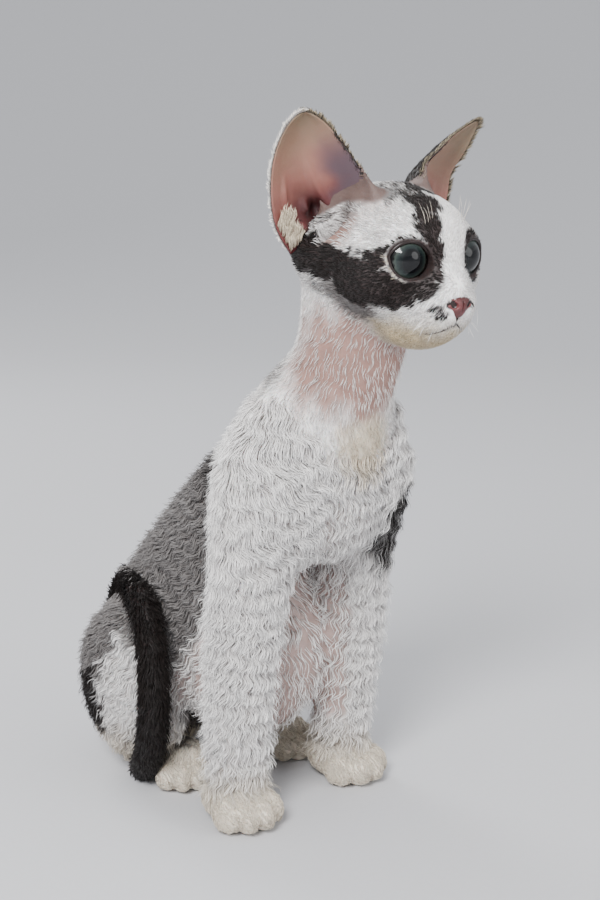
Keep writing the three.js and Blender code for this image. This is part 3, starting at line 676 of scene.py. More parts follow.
# %% Marks on the head
def head_marks(q):
    """Shares of black, grey, bare and cream on the head, in the head's own frame."""
    mirrored = np.abs(q) * [1, 0, 0] + q * [0, 1, 1]
    almond, across, _, up = almond_of(mirrored)
    lid = (1 - smoothstep(almond, 0.5 + 0.5 * smoothstep(up, -2, 3), 1.3 + 1.2 * smoothstep(up, -2, 3)))
    lid = lid * (mirrored[:, 1] < 0)
    crescent = smoothstep(almond, 0.5, 0.8) * (1 - smoothstep(almond + 0.3 * noise(q, 1.5, 62), 0.9, 1.5))
    crescent = crescent * smoothstep(across - 0.8 * up, 5, 9) * (1 - smoothstep(up, -1, 1)) * (q[:, 0] < 0)
    black = most(
        patch(q, (-31, 22, -3), (10, 8.5, 7), 0.12, 0.25, 3, 13),
        patch(q, (-28, 8, -4.5), (9, 13, 6.5), 0.12, 0.28, 3, 12),
        patch(q, (-26, -5, -7.5), (8, 11, 9.5), 0.14, 0.3, 2.8, 11),
        patch(q, (-19, -16.5, -10), (11, 8.5, 7.2), 0.12, 0.2, 2.8, 47),
        patch(q, (-10.5, -24.5, -7.5), (5, 6, 5), 0.2, 0.25, 2, 48),
        patch(q, (-23.5, -13, 0), (4, 6, 4.5), 0.3, 0.35, 2, 49),
        patch(q, (-7.4, -24.5, 1.5), (4.3, 6, 10), 0.22, 0.25, 2, 14),
        patch(q, (-7.2, -19.5, 12), (4.6, 8, 8), 0.25, 0.3, 2, 15),
        patch(q, (-3.5, -11.5, 19.5), (6, 8.5, 6.5), 0.25, 0.35, 2, 50),
        patch(q, (5.5, -2, 23), (9, 8, 5), 0.3, 0.4, 3, 16) * 0.9,
        patch(q, (13, -21, 0.5), (9.5, 9, 9.5), 0.12, 0.15, 3, 17),
        patch(q, (26, -2, -6), (10, 17, 8), 0.15, 0.25, 4, 18),
        patch(q, (-8.2, -29.5, -14.6), (2.6, 3, 1.2), 0.3, 0.5, 1.2, 19) * 0.9,
        patch(q, (-7, -29.5, -17), (2.8, 3, 1.1), 0.3, 0.5, 1.2, 51) * 0.9,
        patch(q, (20, 24, 8), (16, 14, 14), 0.3, 0.3, 5, 20),
        patch(q, (-16, 30, 12), (12, 12, 12), 0.4, 0.3, 5, 21) * 0.8,
        patch(q, (-9, -1, 21.5), (8, 7, 5), 0.5, 0.8, 2, 60) * 0.6,
        patch(q, (-15, 8, 20), (7, 8, 6), 0.5, 0.8, 2, 61) * 0.5,
        patch(q, (12, 3, 21), (8, 8, 7), 0.3, 0.4, 3, 63) * 0.9,
        # Black on the skin that shows through the nostrils: painted shade inside them.
        patch(mirrored, (3.8, -30.8, -13.4), (2.4, 3.4, 1.7), 0.15, 0.05, 2, 64))
    black = most(black * (1 - 0.8 * crescent), lid)
    grey = most(
        patch(q, (-23, 7, -18), (10, 18, 9), 0.4, 0.4, 3, 22),
        patch(q, (24, 12, -16), (10, 18, 9), 0.4, 0.3, 5, 23),
        patch(q, (0, 30, -14), (26, 12, 26), 0.5, 0.2, 6, 24),
        patch(q, (-7, 4, 23), (12, 9, 6), 0.5, 0.7, 2.5, 25) * 0.6,
        patch(q, (-25, 12, 15), (9, 9, 7), 0.4, 0.2, 4, 52) * 0.75,
        patch(q, (27, 14, 15), (11, 10, 9), 0.4, 0.2, 4, 53) * 0.7)
    bare = most(
        patch(q, (-26, 12, 9), (11, 9, 9), 0.4, 0.2, 4, 26),
        patch(q, (27, 13, 12), (10, 9, 9), 0.4, 0.2, 4, 54),
        patch(q, (-15, 2, 16), (6, 9, 6), 0.6, 0.3, 3, 27) * 0.45,
        patch(q, (-14, 18, -25), (14, 20, 9), 0.5, 0.2, 5, 28) * 0.6)
    cream = most(patch(q, (0, -12, -27), (20, 22, 8), 0.6, 0.2, 5, 29), crescent * 0.8)
    return np.stack([black, grey, bare, cream], axis=-1)


# %% Marks on the body
def body_marks(p):
    """The same shares on neck, body, legs, feet and tail, in the kitten's own frame."""
    wander = 5 * noise(p, 9, 31) + 2.5 * noise(p, 4, 32)
    boundary = np.interp(p[:, 2], [30, 60, 85, 130, 150], [14, 4, -9, -9, -4])
    behind = smoothstep(p[:, 1] + wander, boundary - 2.5, boundary + 2.5)
    under = 1 - smoothstep(p[:, 2] + wander, 143, 150)
    grey = behind * under * (1 - smoothstep(18 - p[:, 2] + 0.4 * wander, 0, 8))
    haunch_white = patch(p, (-43, 30, 44), (12, 16, 24), 0.3, 0.45, 5, 41)
    low_white = patch(p, (-36, 44, 10), (16, 22, 13), 0.3, 0.4, 5, 55)
    grey = grey * (1 - 0.95 * most(haunch_white, low_white))
    black = most(patch(p, (-44, 55, 34), (14, 12, 17), 0.3, 0.35, 4, 38),
                 patch(p, (35, -50, 120), (13, 14, 18), 0.25, 0.25, 5, 39) * 0.8,
                 patch(p, (0, 0, 138), (26, 16, 22), 0.6, 0.3, 6, 40) * 0.6 * behind * under,
                 patch(p, (44, 46, 40), (16, 14, 20), 0.4, 0.3, 6, 46) * 0.7,
                 patch(p, (0, 66, 60), (20, 22, 36), 0.6, 0.4, 7, 56) * 0.45)
    black = black * (1 - 0.8 * haunch_white) * (1 - low_white)
    belly = patch(p, (2, -12, 58), (37, 30, 38), 0.15, 0.1, 8, 42)
    side_skin = patch(p, (-33, 8, 46), (9, 10, 16), 0.4, 0.3, 5, 57) * 0.8
    throat = patch(p, (-6, -68, 190), (32, 28, 24), 0.3, 0.2, 6, 43)
    armpit = patch(p, (-14, -52, 122), (9, 14, 14), 0.5, 0.3, 5, 58) * 0.6
    inner = smoothstep((p[:, 1] + 28 - p[:, 0] + 31) / 2**0.5 + 0.3 * wander, -1.5, 1.5) * (p[:, 0] > 0)
    inner = most(inner, smoothstep(21 - np.abs(p[:, 0]), -1, 2.5) * (p[:, 0] <= 0))
    inner = inner * smoothstep(-p[:, 2], -112, -100) * smoothstep(p[:, 2], 24, 34)
    inner = inner * (1 - smoothstep(p[:, 1], -20, 4))
    bare = most(belly, throat, inner * 0.95, side_skin, armpit)
    cream = most(patch(p, (-2, -68, 158), (13, 10, 12), 0.5, 0.4, 3, 44), 1 - smoothstep(p[..., 2], 12, 34))
    nape = patch(p, (-18, -30, 196), (10, 10, 20), 0.4, 0.3, 4, 59)
    grey = most(grey, nape * 0.9)
    return np.stack([black * (1 - bare), grey * (1 - 0.8 * bare), bare, cream * 0.7], axis=-1)


# %% Marks anywhere
def marks_at(p, levels=None):
    """Shares of black, grey, bare and cream at points of the skin."""
    levels = part_levels(p) if levels is None else levels
    on_head = smoothstep(levels["neck"] - levels["head"], -2, 6)[..., None]
    marks = head_marks(to_head(p)) * on_head + body_marks(p) * (1 - on_head)
    rest = reduce(np.minimum, [level for name, level in levels.items() if name != "tail"])
    on_tail = smoothstep(rest - levels["tail"], -0.6, 0.8)[..., None]
    return marks * (1 - on_tail) + np.array([1.0, 0, 0, 0]) * on_tail


# %% [markdown]
# ## Materials
# Hair is keratin with matt scales, so it is rough with hardly any gloss. Skin is rough too, but light
# enters it and comes out redder. Colours are given in hex, as screens show them, and one function
# turns them to linear light. A pattern's scale is one over its size, worked out from millimetres.

# %% Colours and nodes
def linear(hex_colour):
    """Linear RGBA from an sRGB hex colour."""
    srgb = np.array([int(hex_colour[k:k + 2], 16) for k in (1, 3, 5)]) / 255
    light = np.where(srgb <= 0.04045, srgb / 12.92, ((srgb + 0.055) / 1.055) ** 2.4)
    return (*light.tolist(), 1.0)


def add_node(tree, kind, settings=None, inputs=None):
    """A node with its settings. An input is a value, or an output socket to link from."""
    node = tree.nodes.new(kind)
    for name, value in (settings or {}).items():
        setattr(node, name, value)
    for key, value in (inputs or {}).items():
        if isinstance(value, bpy.types.NodeSocket):
            tree.links.new(value, node.inputs[key])
        else:
            node.inputs[key].default_value = value
    return node


def new_material(name):
    """An empty material with its output node."""
    material = bpy.data.materials.new(name)
    material.use_nodes = True
    tree = material.node_tree
    tree.nodes.clear()
    return material, tree, add_node(tree, "ShaderNodeOutputMaterial")


def pattern_scale(size):
    """A texture's scale for a pattern of this size in mm: one over the size in metres."""
    return 1 / (size * MM)


def set_stops(ramp, stops):
    """A ramp's colours from pairs of place and hex colour. It starts with two stops of its own."""
    for index, (position, colour) in enumerate(stops):
        stop = ramp.elements[index] if index < 2 else ramp.elements.new(position)
        stop.position = position
        stop.color = linear(colour)


print("mid grey in linear light:", round(linear("#808080")[0], 3))

# %% The palette
MIX = {"data_type": "RGBA"}  # a Mix node for colours: 0 is the share, 6 and 7 the two colours
WHITE = linear("#f6f4f2")
CREAM = linear("#cdbb98")
BLACK = linear("#150d0a")
GREY = linear("#56504e")
SKIN_PINK = linear("#98776d")
SKIN_DARK = linear("#2b2120")


def marked_colour(tree, hair):
    """The colour that the shares give: white, then cream, bare, grey and black laid over it."""
    marks = add_node(tree, "ShaderNodeAttribute", {"attribute_name": "marks"})
    split = add_node(tree, "ShaderNodeSeparateColor", {}, {0: marks.outputs["Color"]})
    black, grey, bare = split.outputs[0], split.outputs[1], split.outputs[2]
    layers = [(marks.outputs["Alpha"], CREAM), (bare, SKIN_PINK), (grey, GREY),
              (black, BLACK if hair else SKIN_DARK)]
    colour = WHITE
    for share, over in layers:
        if hair and over is SKIN_PINK:
            continue
        mix = add_node(tree, "ShaderNodeMix", MIX, {0: share, 6: colour, 7: over})
        colour = mix.outputs[2]
    return colour


# %% Hair
def hair_material():
    """Keratin hair: matt, each tuft a little lighter or darker than the next, darker at its root.
    That darker, pinker root is partly skin showing between the hairs, partly painted shade between the
    waves.
    """
    material, tree, output = new_material("keratin_hair")
    strand = add_node(tree, "ShaderNodeAttribute", {"attribute_name": "strand"})
    split = add_node(tree, "ShaderNodeSeparateColor", {}, {0: strand.outputs["Color"]})
    own, along = split.outputs[0], split.outputs[1]
    tone = add_node(tree, "ShaderNodeMapRange", {}, {0: own, 3: 0.86, 4: 1.12})
    # Painted shade between the coat's waves: tufts darken and turn pink towards their roots, partly also
    # the skin seen between hairs.
    root = add_node(tree, "ShaderNodeMapRange", {}, {0: along, 3: 0.8, 4: 1.08})
    skin_and_shade_at_root = add_node(tree, "ShaderNodeMapRange", {}, {0: along, 1: 0.0, 2: 0.7, 3: 0.3, 4: 0.0})
    both = add_node(tree, "ShaderNodeMath", {"operation": "MULTIPLY"},
                    {0: tone.outputs[0], 1: root.outputs[0]})
    warmed = add_node(tree, "ShaderNodeMix", {**MIX, "blend_type": "MULTIPLY"},
                      {0: skin_and_shade_at_root.outputs[0], 6: marked_colour(tree, hair=True), 7: SKIN_PINK})
    scaled = add_node(tree, "ShaderNodeVectorMath", {"operation": "SCALE"},
                      {0: warmed.outputs[2], 3: both.outputs[0]})
    shader = add_node(tree, "ShaderNodeBsdfPrincipled", {}, {
        "Base Color": scaled.outputs[0], "Roughness": 0.6, "IOR": 1.55, "Specular IOR Level": 0.2,
        "Sheen Weight": 0.04, "Sheen Roughness": 0.4})
    tree.links.new(shader.outputs[0], output.inputs[0])
    return material


# %% Skin
def skin_material():
    """Living skin under the coat: fine pores and creases, softened by light that enters it."""
    material, tree, output = new_material("kitten_skin")
    place = add_node(tree, "ShaderNodeTexCoord").outputs["Object"]
    mottle = add_node(tree, "ShaderNodeTexNoise", {},
                      {"Vector": place, "Scale": pattern_scale(5.556), "Detail": 5})
    pores = add_node(tree, "ShaderNodeTexVoronoi", {}, {"Vector": place, "Scale": pattern_scale(0.7143)})
    tone = add_node(tree, "ShaderNodeMapRange", {}, {0: mottle.outputs[0], 1: 0.3, 2: 0.7, 3: 0.8, 4: 1.1})
    colour = add_node(tree, "ShaderNodeVectorMath", {"operation": "SCALE"},
                      {0: marked_colour(tree, hair=False), 3: tone.outputs[0]})
    height = add_node(tree, "ShaderNodeMath", {"operation": "ADD"},
                      {0: pores.outputs[0], 1: mottle.outputs[0]})
    bump = add_node(tree, "ShaderNodeBump", {},
                    {"Strength": 0.35, "Distance": 0.3 * MM, "Height": height.outputs[0]})
    shader = add_node(tree, "ShaderNodeBsdfPrincipled", {}, {
        "Base Color": colour.outputs[0], "Roughness": 0.6, "Specular IOR Level": 0.35,
        "Subsurface Weight": 0.12, "Subsurface Radius": (1.0, 0.35, 0.2), "Subsurface Scale": 2 * MM,
        "Normal": bump.outputs[0]})
    tree.links.new(shader.outputs[0], output.inputs[0])
    return material


hair = hair_material()
skin_look = skin_material()
print("materials:", hair.name, skin_look.name)

# %% The skin
skin = mesh_object("skin", skin_points, skin_quads)
skin_parts = part_levels(skin_points)
ear_share = smoothstep(body_level(skin_points) + coat_depth(skin_points), 0.15, 1.2)[:, None]
lilac = np.array([0.35, 0.6, 1.0, 0.0])  # shares on the skin that rises with the ears
add_colours(skin, "marks", marks_at(skin_points, skin_parts) * (1 - ear_share) + lilac * ear_share)
skin.data.materials.append(skin_look)
flesh = ["head", "neck", "torso", "tail_1", "tail_2", "tail_3"]
flesh += [part + "_" + name for part in ("foreleg", "forepaw", "thigh", "hindfoot") for name, _ in SIDES]
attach(skin, "root")
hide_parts(*flesh)
print("the skin stands for", len(flesh), "solids")

# %% [markdown]
# ## The lie of the coat
# Hair leans back from the nose, down the neck and along the body, down the legs and along the tail.
# Combing does this by hand in a hair editor. Here each part has its own direction, and where parts
# meet the directions are mixed by how close each part is, so the coat turns smoothly.

# %% Lie
def tail_direction(p):
    """The tail curve's direction at its point nearest to each given point."""
    t = np.linspace(0, 1, 80)
    at = curve_at(tail_path, t)
    nearest = np.argmin(length_of(p[:, None] - at), axis=1)
    ahead, behind = np.minimum(t[nearest] + 0.01, 1), t[nearest] - 0.01
    return unit(curve_at(tail_path, ahead) - curve_at(tail_path, behind))


# %% Directions of all parts, mixed
def lie_at(p, normals, levels):
    """Unit tangents along which the hair lies: the parts' own directions, weighed by closeness."""
    nose_tip = from_head([0, -31, -6])
    down = np.array([0, 0.1, -1.0])
    front = smoothstep(-p[:, 1], 20, 50)[:, None]
    directions = {
        "head": unit(p - nose_tip),
        "neck": unit(np.array([0, -43, 165]) - nape) + 0 * p,
        "trunk": unit(np.array([0, 0.62, -0.79]) * (1 - front) + np.array([0, 0.05, -1]) * front),
        "tail": tail_direction(p),
    }
    for name, side in SIDES:
        toe, heel = hind[name]
        yaw = np.radians(soles[name][1])
        high = smoothstep(p[:, 2], 90, 120)[:, None]
        directions["arm_" + name] = unit(down * (1 - high) + np.array([-side * 0.5, -0.35, -0.8]) * high)
        directions["thigh_" + name] = unit([side * 0.1, 0.3, -1]) + 0 * p
        directions["paw_" + name] = unit([-np.sin(yaw) * -1, -np.cos(yaw), -0.5]) + 0 * p
        directions["foot_" + name] = unit(toe - heel + [0, 0, -8]) + 0 * p
    names = list(levels)
    stack = np.stack([levels[name] for name in names], axis=-1)
    weights = np.exp(-(stack - stack.min(axis=-1, keepdims=True)) / 2.5)
    total = sum(weights[:, [k]] * directions[name] for k, name in enumerate(names))
    flat = total - normals * (total * normals).sum(axis=-1, keepdims=True)
    return unit(flat)


# %% [markdown]
# ## Tufts
# A rex coat is short, soft and crimped in waves that run across it. Particle hair would be lost when
# the model is exported, so each tuft is real mesh: a thin, three-sided, tapered and curved spike,
# closed at its root. It follows the body's curve, waves from side to side, and leans towards the
# middle of its lock. Neighbours share the phase of their waves, and this makes the rows.

# %% Unwrap
def unwrap(p, normals):
    """A place on an unwrap of the skin: six charts, one for each way that it may mostly face."""
    axis = np.argmax(np.abs(normals), axis=1)
    rows = np.arange(len(p))
    sign = (normals[rows, axis] > 0).astype(int)
    first, second = (axis + 1) % 3, (axis + 2) % 3
    spread = np.ptp(p, axis=0).max() + 1e-6
    scaled = (p - p.min(axis=0)) / spread * 0.94 + 0.02
    u = (axis + scaled[rows, first]) / 3
    v = (sign + scaled[rows, second]) / 2
    return np.stack([u, v], axis=-1)


# %% Tuft mesh
patch_size = 0.003  # of a tuft's own patch on the unwrap
root_sunk = 0.25  # mm that a tuft's root lies under the skin


def tuft_object(name, rows, uv_roots, marks, tones):
    """One mesh of many closed tufts. rows holds each tuft's rings: (tufts, rings, corners, 3)."""
    tufts, rings = rows.shape[:2]
    tips = rows[:, -1:, 0]
    body = rows[:, :-1].reshape(tufts, -1, 3)
    vertices = np.concatenate([body, tips], axis=1)
    per_tuft = vertices.shape[1]
    faces = [(0, 2, 1)]
    for ring in range(rings - 2):
        for k in range(3):
            a, b = ring * 3 + k, ring * 3 + (k + 1) % 3
            faces += [(a, b, b + 3), (a, b + 3, a + 3)]
    last = (rings - 2) * 3
    faces += [(last + k, last + (k + 1) % 3, per_tuft - 1) for k in range(3)]
    all_faces = (np.arange(tufts)[:, None, None] * per_tuft + np.array(faces)).reshape(-1, 3)
    obj = mesh_object(name, vertices.reshape(-1, 3), all_faces)
    along = np.append(np.repeat(np.arange(rings - 1) / (rings - 1), 3), 1.0)
    around = np.append(np.tile([0.0, 1.0, 0.5], rings - 1), 0.5)
    add_colours(obj, "marks", np.repeat(marks, per_tuft, axis=0))
    strand = np.zeros((tufts, per_tuft, 4))
    strand[..., 0], strand[..., 1] = tones[:, None], along
    add_colours(obj, "strand", strand.reshape(-1, 4))
    uv = uv_roots[:, None] + np.stack([around - 0.5, along - 0.5], axis=-1) * patch_size
    corner = np.empty(len(obj.data.loops), np.int32)
    obj.data.loops.foreach_get("vertex_index", corner)
    layer = obj.data.uv_layers.new(name="OFBake")
    layer.data.foreach_set("uv", uv.reshape(-1, 2)[corner].astype(np.float32).ravel())
    obj.data.materials.append(hair)
    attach(obj, "root")
    print(name, tufts, "tufts,", len(all_faces), "triangles")
    return obj


# %% Growing tufts
def grow(name, roots, normals, length, width, flow=(0, 0.3, -0.95), rings=3, wavelength=6.5, ripple=0.0,
         sway=0.3, gather=0.3, lock=4.0, lift=0.3, ragged=0.0, seed=1, lie=None, marks=None):
    """Tufts from their roots, in mm. Each ring lies on the coat's own surface: the body's, raised by
    ripples whose phase is the place along the flow over the wavelength. Given a lie, tufts stand free."""
    count = len(roots)
    free = lie is not None
    levels = None if free else part_levels(roots)
    lie = lie if free else lie_at(roots, normals, levels)
    across = np.cross(normals, lie)
    turn = 0.3 * noise(roots, 9, seed + 50) + 0.1 * draw.standard_normal(count)
    lie, across = (lie * np.cos(turn)[:, None] + across * np.sin(turn)[:, None],
                   across * np.cos(turn)[:, None] - lie * np.sin(turn)[:, None])
    middle = lock_middles(roots, lock, seed + 60)
    inward = middle - roots
    inward -= normals * (inward * normals).sum(axis=-1, keepdims=True)
    lengths = length * draw.uniform(0.75, 1.15, count)
    wander = 2.6 * noise(roots, 11, seed + 70) + 0.9 * noise(middle, 4, seed + 71)
    flow = unit(flow)
    first_phase = 2 * np.pi * (roots @ flow) / wavelength + wander
    depth = 0.0 if free else coat_depth(roots)
    stand = lift + ragged * draw.random(count) ** 4
    thickness = draw.uniform(0.8, 1.2, count)[:, None]
    rows = np.empty((count, rings, 3, 3))
    for k, share in enumerate(np.linspace(0, 1, rings)):
        p = roots + lie * (lengths * share)[:, None] + inward * (gather * share)
        phase = 2 * np.pi * (p @ flow) / wavelength + wander
        p = p + across * (sway * (np.cos(phase) - np.cos(first_phase)))[:, None]
        top = stand + ripple * (0.5 + 0.5 * np.sin(phase))
        height = -depth - root_sunk + (depth + root_sunk + top) * share**0.7
        if free:
            p = p + normals * height[:, None]
        elif share > 0:
            p = p - normals * (body_level(p) - height)[:, None]
        else:
            p = p - normals * root_sunk
        radius = width * np.sqrt(1 - share**2) * thickness
        for corner, (aside, up) in enumerate(((-0.5, 0), (0.5, 0), (0, 0.45))):
            rows[:, k, corner] = p + radius * (aside * across + up * normals)
    rows[..., 2] = np.maximum(rows[..., 2], floor_clear)
    marks = marks_at(roots, levels) if marks is None else marks
    turning = draw.uniform(0.3, 0.7, (count, 2))
    mixed_in = smoothstep(marks[:, :2], turning - 0.25, turning + 0.25)
    marks = np.concatenate([mixed_in * [[1, 0.85]], marks[:, 2:]], axis=1)
    mottle = noise(middle, 3, seed + 80) * 0.25 + 0.5
    tones = np.clip(mottle + 0.25 * draw.standard_normal(count), 0, 1)
    return tuft_object(name, rows, unwrap(roots, normals), marks, tones)


# %% [markdown]
# ## Where hair grows
# Roots are drawn on the skin's quads. Masks tell which part a quad is on and keep the eye openings,
# the nose leather and the ears' roots free. Bare places get few roots, so the skin shows there.

# %% Roots on the skin
corners = skin_points[skin_quads]
quad_normals = np.cross(corners[:, 2] - corners[:, 0], corners[:, 3] - corners[:, 1])
quad_areas = length_of(quad_normals) / 2
quad_middles = corners.mean(axis=1)
vertex_normals = np.stack(
    [np.bincount(skin_quads.ravel(), np.repeat(quad_normals[:, k], 4), len(skin_points))
     for k in range(3)], axis=-1)
vertex_normals = unit(vertex_normals)


sole_height = 2.5  # mm, below which no hair grows


def roots_where(weight, per_mm2):
    """Random roots on the skin, as dense as the weight from 0 to 1 times a number per square mm.
    A quad's share of them is its area times its weight. The soles get none."""
    expected = quad_areas * weight * per_mm2 * (quad_middles[:, 2] > sole_height)
    count = int(expected.sum())
    quad = draw.choice(len(expected), count, p=expected / expected.sum())
    u, v = draw.random((2, count, 1))
    shares = np.stack([(1 - u) * (1 - v), u * (1 - v), u * v, (1 - u) * v], axis=1)
    normals = unit((vertex_normals[skin_quads[quad]] * shares).sum(axis=1))
    return (corners[quad] * shares).sum(axis=1), normals


quad_levels = part_levels(quad_middles)
owner = np.argmin(np.stack(list(quad_levels.values()), axis=-1), axis=1)
part_names = list(quad_levels)
quad_marks = marks_at(quad_middles, quad_levels)
bare = quad_marks[:, 2]
face_q = to_head(quad_middles)
mirrored_q = np.abs(face_q) * [1, 0, 0] + face_q * [0, 1, 1]
open_eye = (almond_of(mirrored_q)[0] < 0.9) & (face_q[:, 1] < 0)
nose_bald = length_of((face_q - [0, -31, -14]) / [5.6, 4, 4.2]) < 1
on_ear_root = body_level(quad_middles) + coat_depth(quad_middles) > 0.3
clear = ~(open_eye | nose_bald | on_ear_root)


def part_is(*names):
    """True for quads whose nearest part is one of the names."""
    return np.isin(owner, [part_names.index(name) for name in names])


print("quads to grow on:", int(clear.sum()), "of", len(clear))

# %% [markdown]
# ## The coat
# Face and feet have the shortest and finest hair, shoulders and forelegs the longest waves. Length and
# width are in mm. The wavelength is the distance from one row of waves to the next.

# %% The coat
head_zone = part_is("head") & clear
down_leg, along_back = (0, 0.1, -1), (0, 0.6, -0.8)
for name, side in SIDES:
    half = head_zone & (np.sign(face_q[:, 0]) == side)
    front = half & (face_q[:, 1] < 2)
    grow("coat_face_" + name, *roots_where(front * (1 - 0.6 * bare), 3.1), 2.2, 0.26,
         gather=0.12, lock=2.2, lift=0.1, sway=0.15, seed=101 + side)
    rear = half & (face_q[:, 1] >= 2)
    grow("coat_head_" + name, *roots_where(rear * (1 - 0.8 * bare), 2.2), 3.2, 0.3, sway=0.5,
         wavelength=4.5, gather=0.25, lock=2.6, lift=0.2, ragged=0.8, seed=111 + side)
    arm = part_is("arm_" + name)
    high = quad_middles[:, 2] > 96
    grow("coat_shoulder_" + name, *roots_where(arm * high * (1 - 0.9 * bare), 1.15), 11, 0.44,
         flow=(0.35 * -side, 0.1, -0.93), rings=5, wavelength=9, ripple=2.2, sway=1.3, gather=0.6,
         lock=5.5, lift=0.5, ragged=2.5, seed=121 + side)
    haired = np.clip(1 - 1.05 * bare, 0.02, 1)
    grow("coat_foreleg_" + name, *roots_where(arm * ~high * haired, 1.3), 8, 0.44, flow=down_leg,
         rings=5, wavelength=7.5, ripple=2.2, sway=1.3, gather=0.6, lock=4.5, lift=0.5,
         ragged=4.0, seed=131 + side)
    grow("coat_thigh_" + name, *roots_where(part_is("thigh_" + name) * (1 - 0.8 * bare), 1.1), 6, 0.42,
         flow=along_back, rings=4, wavelength=8, ripple=1.2, sway=1.1, gather=0.5, lock=4.5, lift=0.4,
         ragged=2.5, seed=141 + side)
    feet = part_is("paw_" + name, "foot_" + name) & clear
    grow("coat_feet_" + name, *roots_where(feet, 2.1), 3, 0.32, sway=0.3, wavelength=4,
         gather=0.3, lock=2.5, lift=0.2, ragged=0.6, seed=151 + side)
    trunk = part_is("trunk") & (np.sign(quad_middles[:, 0]) == side)
    grow("coat_trunk_" + name, *roots_where(trunk * (1 - 0.9 * bare), 0.84), 6.5, 0.46, flow=along_back,
         rings=4, wavelength=8.5, ripple=1.3, sway=1.3, gather=0.55, lock=5, lift=0.4, ragged=2.5,
         seed=161 + side)
grow("coat_neck", *roots_where(part_is("neck") * (1 - 0.7 * bare), 1.2), 3.5, 0.2, flow=down_leg,
     wavelength=7, ripple=0.3, sway=0.5, gather=0.3, lock=3.5, lift=0.15, ragged=0.8, seed=171)
grow("coat_tail", *roots_where(part_is("tail") * 1.0, 1.5), 5.5, 0.5, rings=4, sway=0.5, wavelength=8,
     gather=0.35, lock=3.5, lift=0.8, ragged=2.0, seed=181)

# %% [markdown]
# ## Ears
# A Devon Rex's ears are very large, low and wide at the base: a cupped sheet of cartilage under thin
# skin, bare inside, with plush on its back. The sheet spans two edge curves and bulges back between
# them. Two layers with a wall round them make it closed, and a Solidify modifier could do so too,
# but here the layers come together towards the rim, as they do on the animal.

# %% Folds of the ear
def bump_at(t, s, centre, spread):
    """A round rise: the bell curve of how far a point of the sheet is from the centre."""
    return np.exp(-((t - centre[0]) / spread[0]) ** 2 - ((s - centre[1]) / spread[1]) ** 2)


def ear_relief(t, s):
    """Folds of the cup in mm, towards its opening: knobs by the canal, a ridge and fine creases."""
    relief = 2.2 * bump_at(t, s, (0.2, 0.62), (0.05, 0.05))
    relief += 2.4 * bump_at(t, s, (0.09, 0.74), (0.05, 0.06))
    relief -= 3.2 * bump_at(t, s, (0.14, 0.52), (0.07, 0.08))
    relief += 1.1 * np.exp(-((s - 0.36 - 0.2 * t) / 0.05) ** 2) * (1 - smoothstep(t, 0.3, 0.6))
    relief += 0.8 * np.exp(-((s - 0.86 + 0.1 * t) / 0.035) ** 2) * (1 - smoothstep(t, 0.35, 0.5))
    return relief + 0.02 * np.sin(2 * np.pi * t * 13 + 3 * s) * smoothstep(t, 0.15, 0.4)


ear_tip = 0.99  # where the shell ends on its sheet, just short of the point


# %% Ear shells
def ear_object(name, side, rows=110, columns=80):
    """Two layers of the sheet, thinner at the rim, and a wall that closes them all round."""
    t, s = np.meshgrid(np.linspace(0, ear_tip, rows), np.linspace(0, 1, columns), indexing="ij")
    normals = ear_normals(t, s, name, side)
    points = ear_sheet(t, s, name, side) + normals * ear_relief(t, s)[..., None]
    edge = np.minimum(1, np.minimum(np.minimum(s, 1 - s) * 12, (ear_tip - t) * 14))
    half = (0.2 + 0.4 * np.sqrt(np.clip(edge, 0, 1)))[..., None]
    layers = np.concatenate([(points + normals * half).reshape(-1, 3),
                             (points - normals * half).reshape(-1, 3)])
    index = np.arange(rows * columns).reshape(rows, columns)
    grid = np.stack([index[:-1, :-1], index[1:, :-1], index[1:, 1:], index[:-1, 1:]], axis=-1)
    grid = grid.reshape(-1, 4)
    back = grid[:, ::-1] + rows * columns
    rim = np.concatenate([index[0, :-1], index[:-1, -1], index[-1, :0:-1], index[:0:-1, 0]])
    after = np.roll(rim, -1)
    wall = np.stack([rim, after, after + rows * columns, rim + rows * columns], axis=1)
    faces = np.concatenate([grid, back, wall])
    faces = faces[:, ::-1] if side > 0 else faces
    obj = mesh_object("ear_shell_" + name, layers, faces)
    # Shares that the ear's material reads: t, painted shade deep in the cup by the canal, 0 on the inner
    # layer and 1 on the outer, and a purple-grey painted shadow of the hair over the cup's front.
    depth = most(bump_at(t, s, (0.13, 0.54), (0.1, 0.12)),
                 0.75 * bump_at(t, s, (0.2, 0.62), (0.16, 0.16)))
    front = (1 - smoothstep(s + 0.08 * noise(points, 5, 61), 0.12, 0.4)) * (1 - smoothstep(t, 0.35, 0.75))
    place = np.stack([t, depth, 0 * t, front], axis=-1).reshape(-1, 4)
    add_colours(obj, "cup", np.concatenate([place, place + [0, 0, 1, 0]]))
    print(obj.name, len(faces), "faces")
    return obj


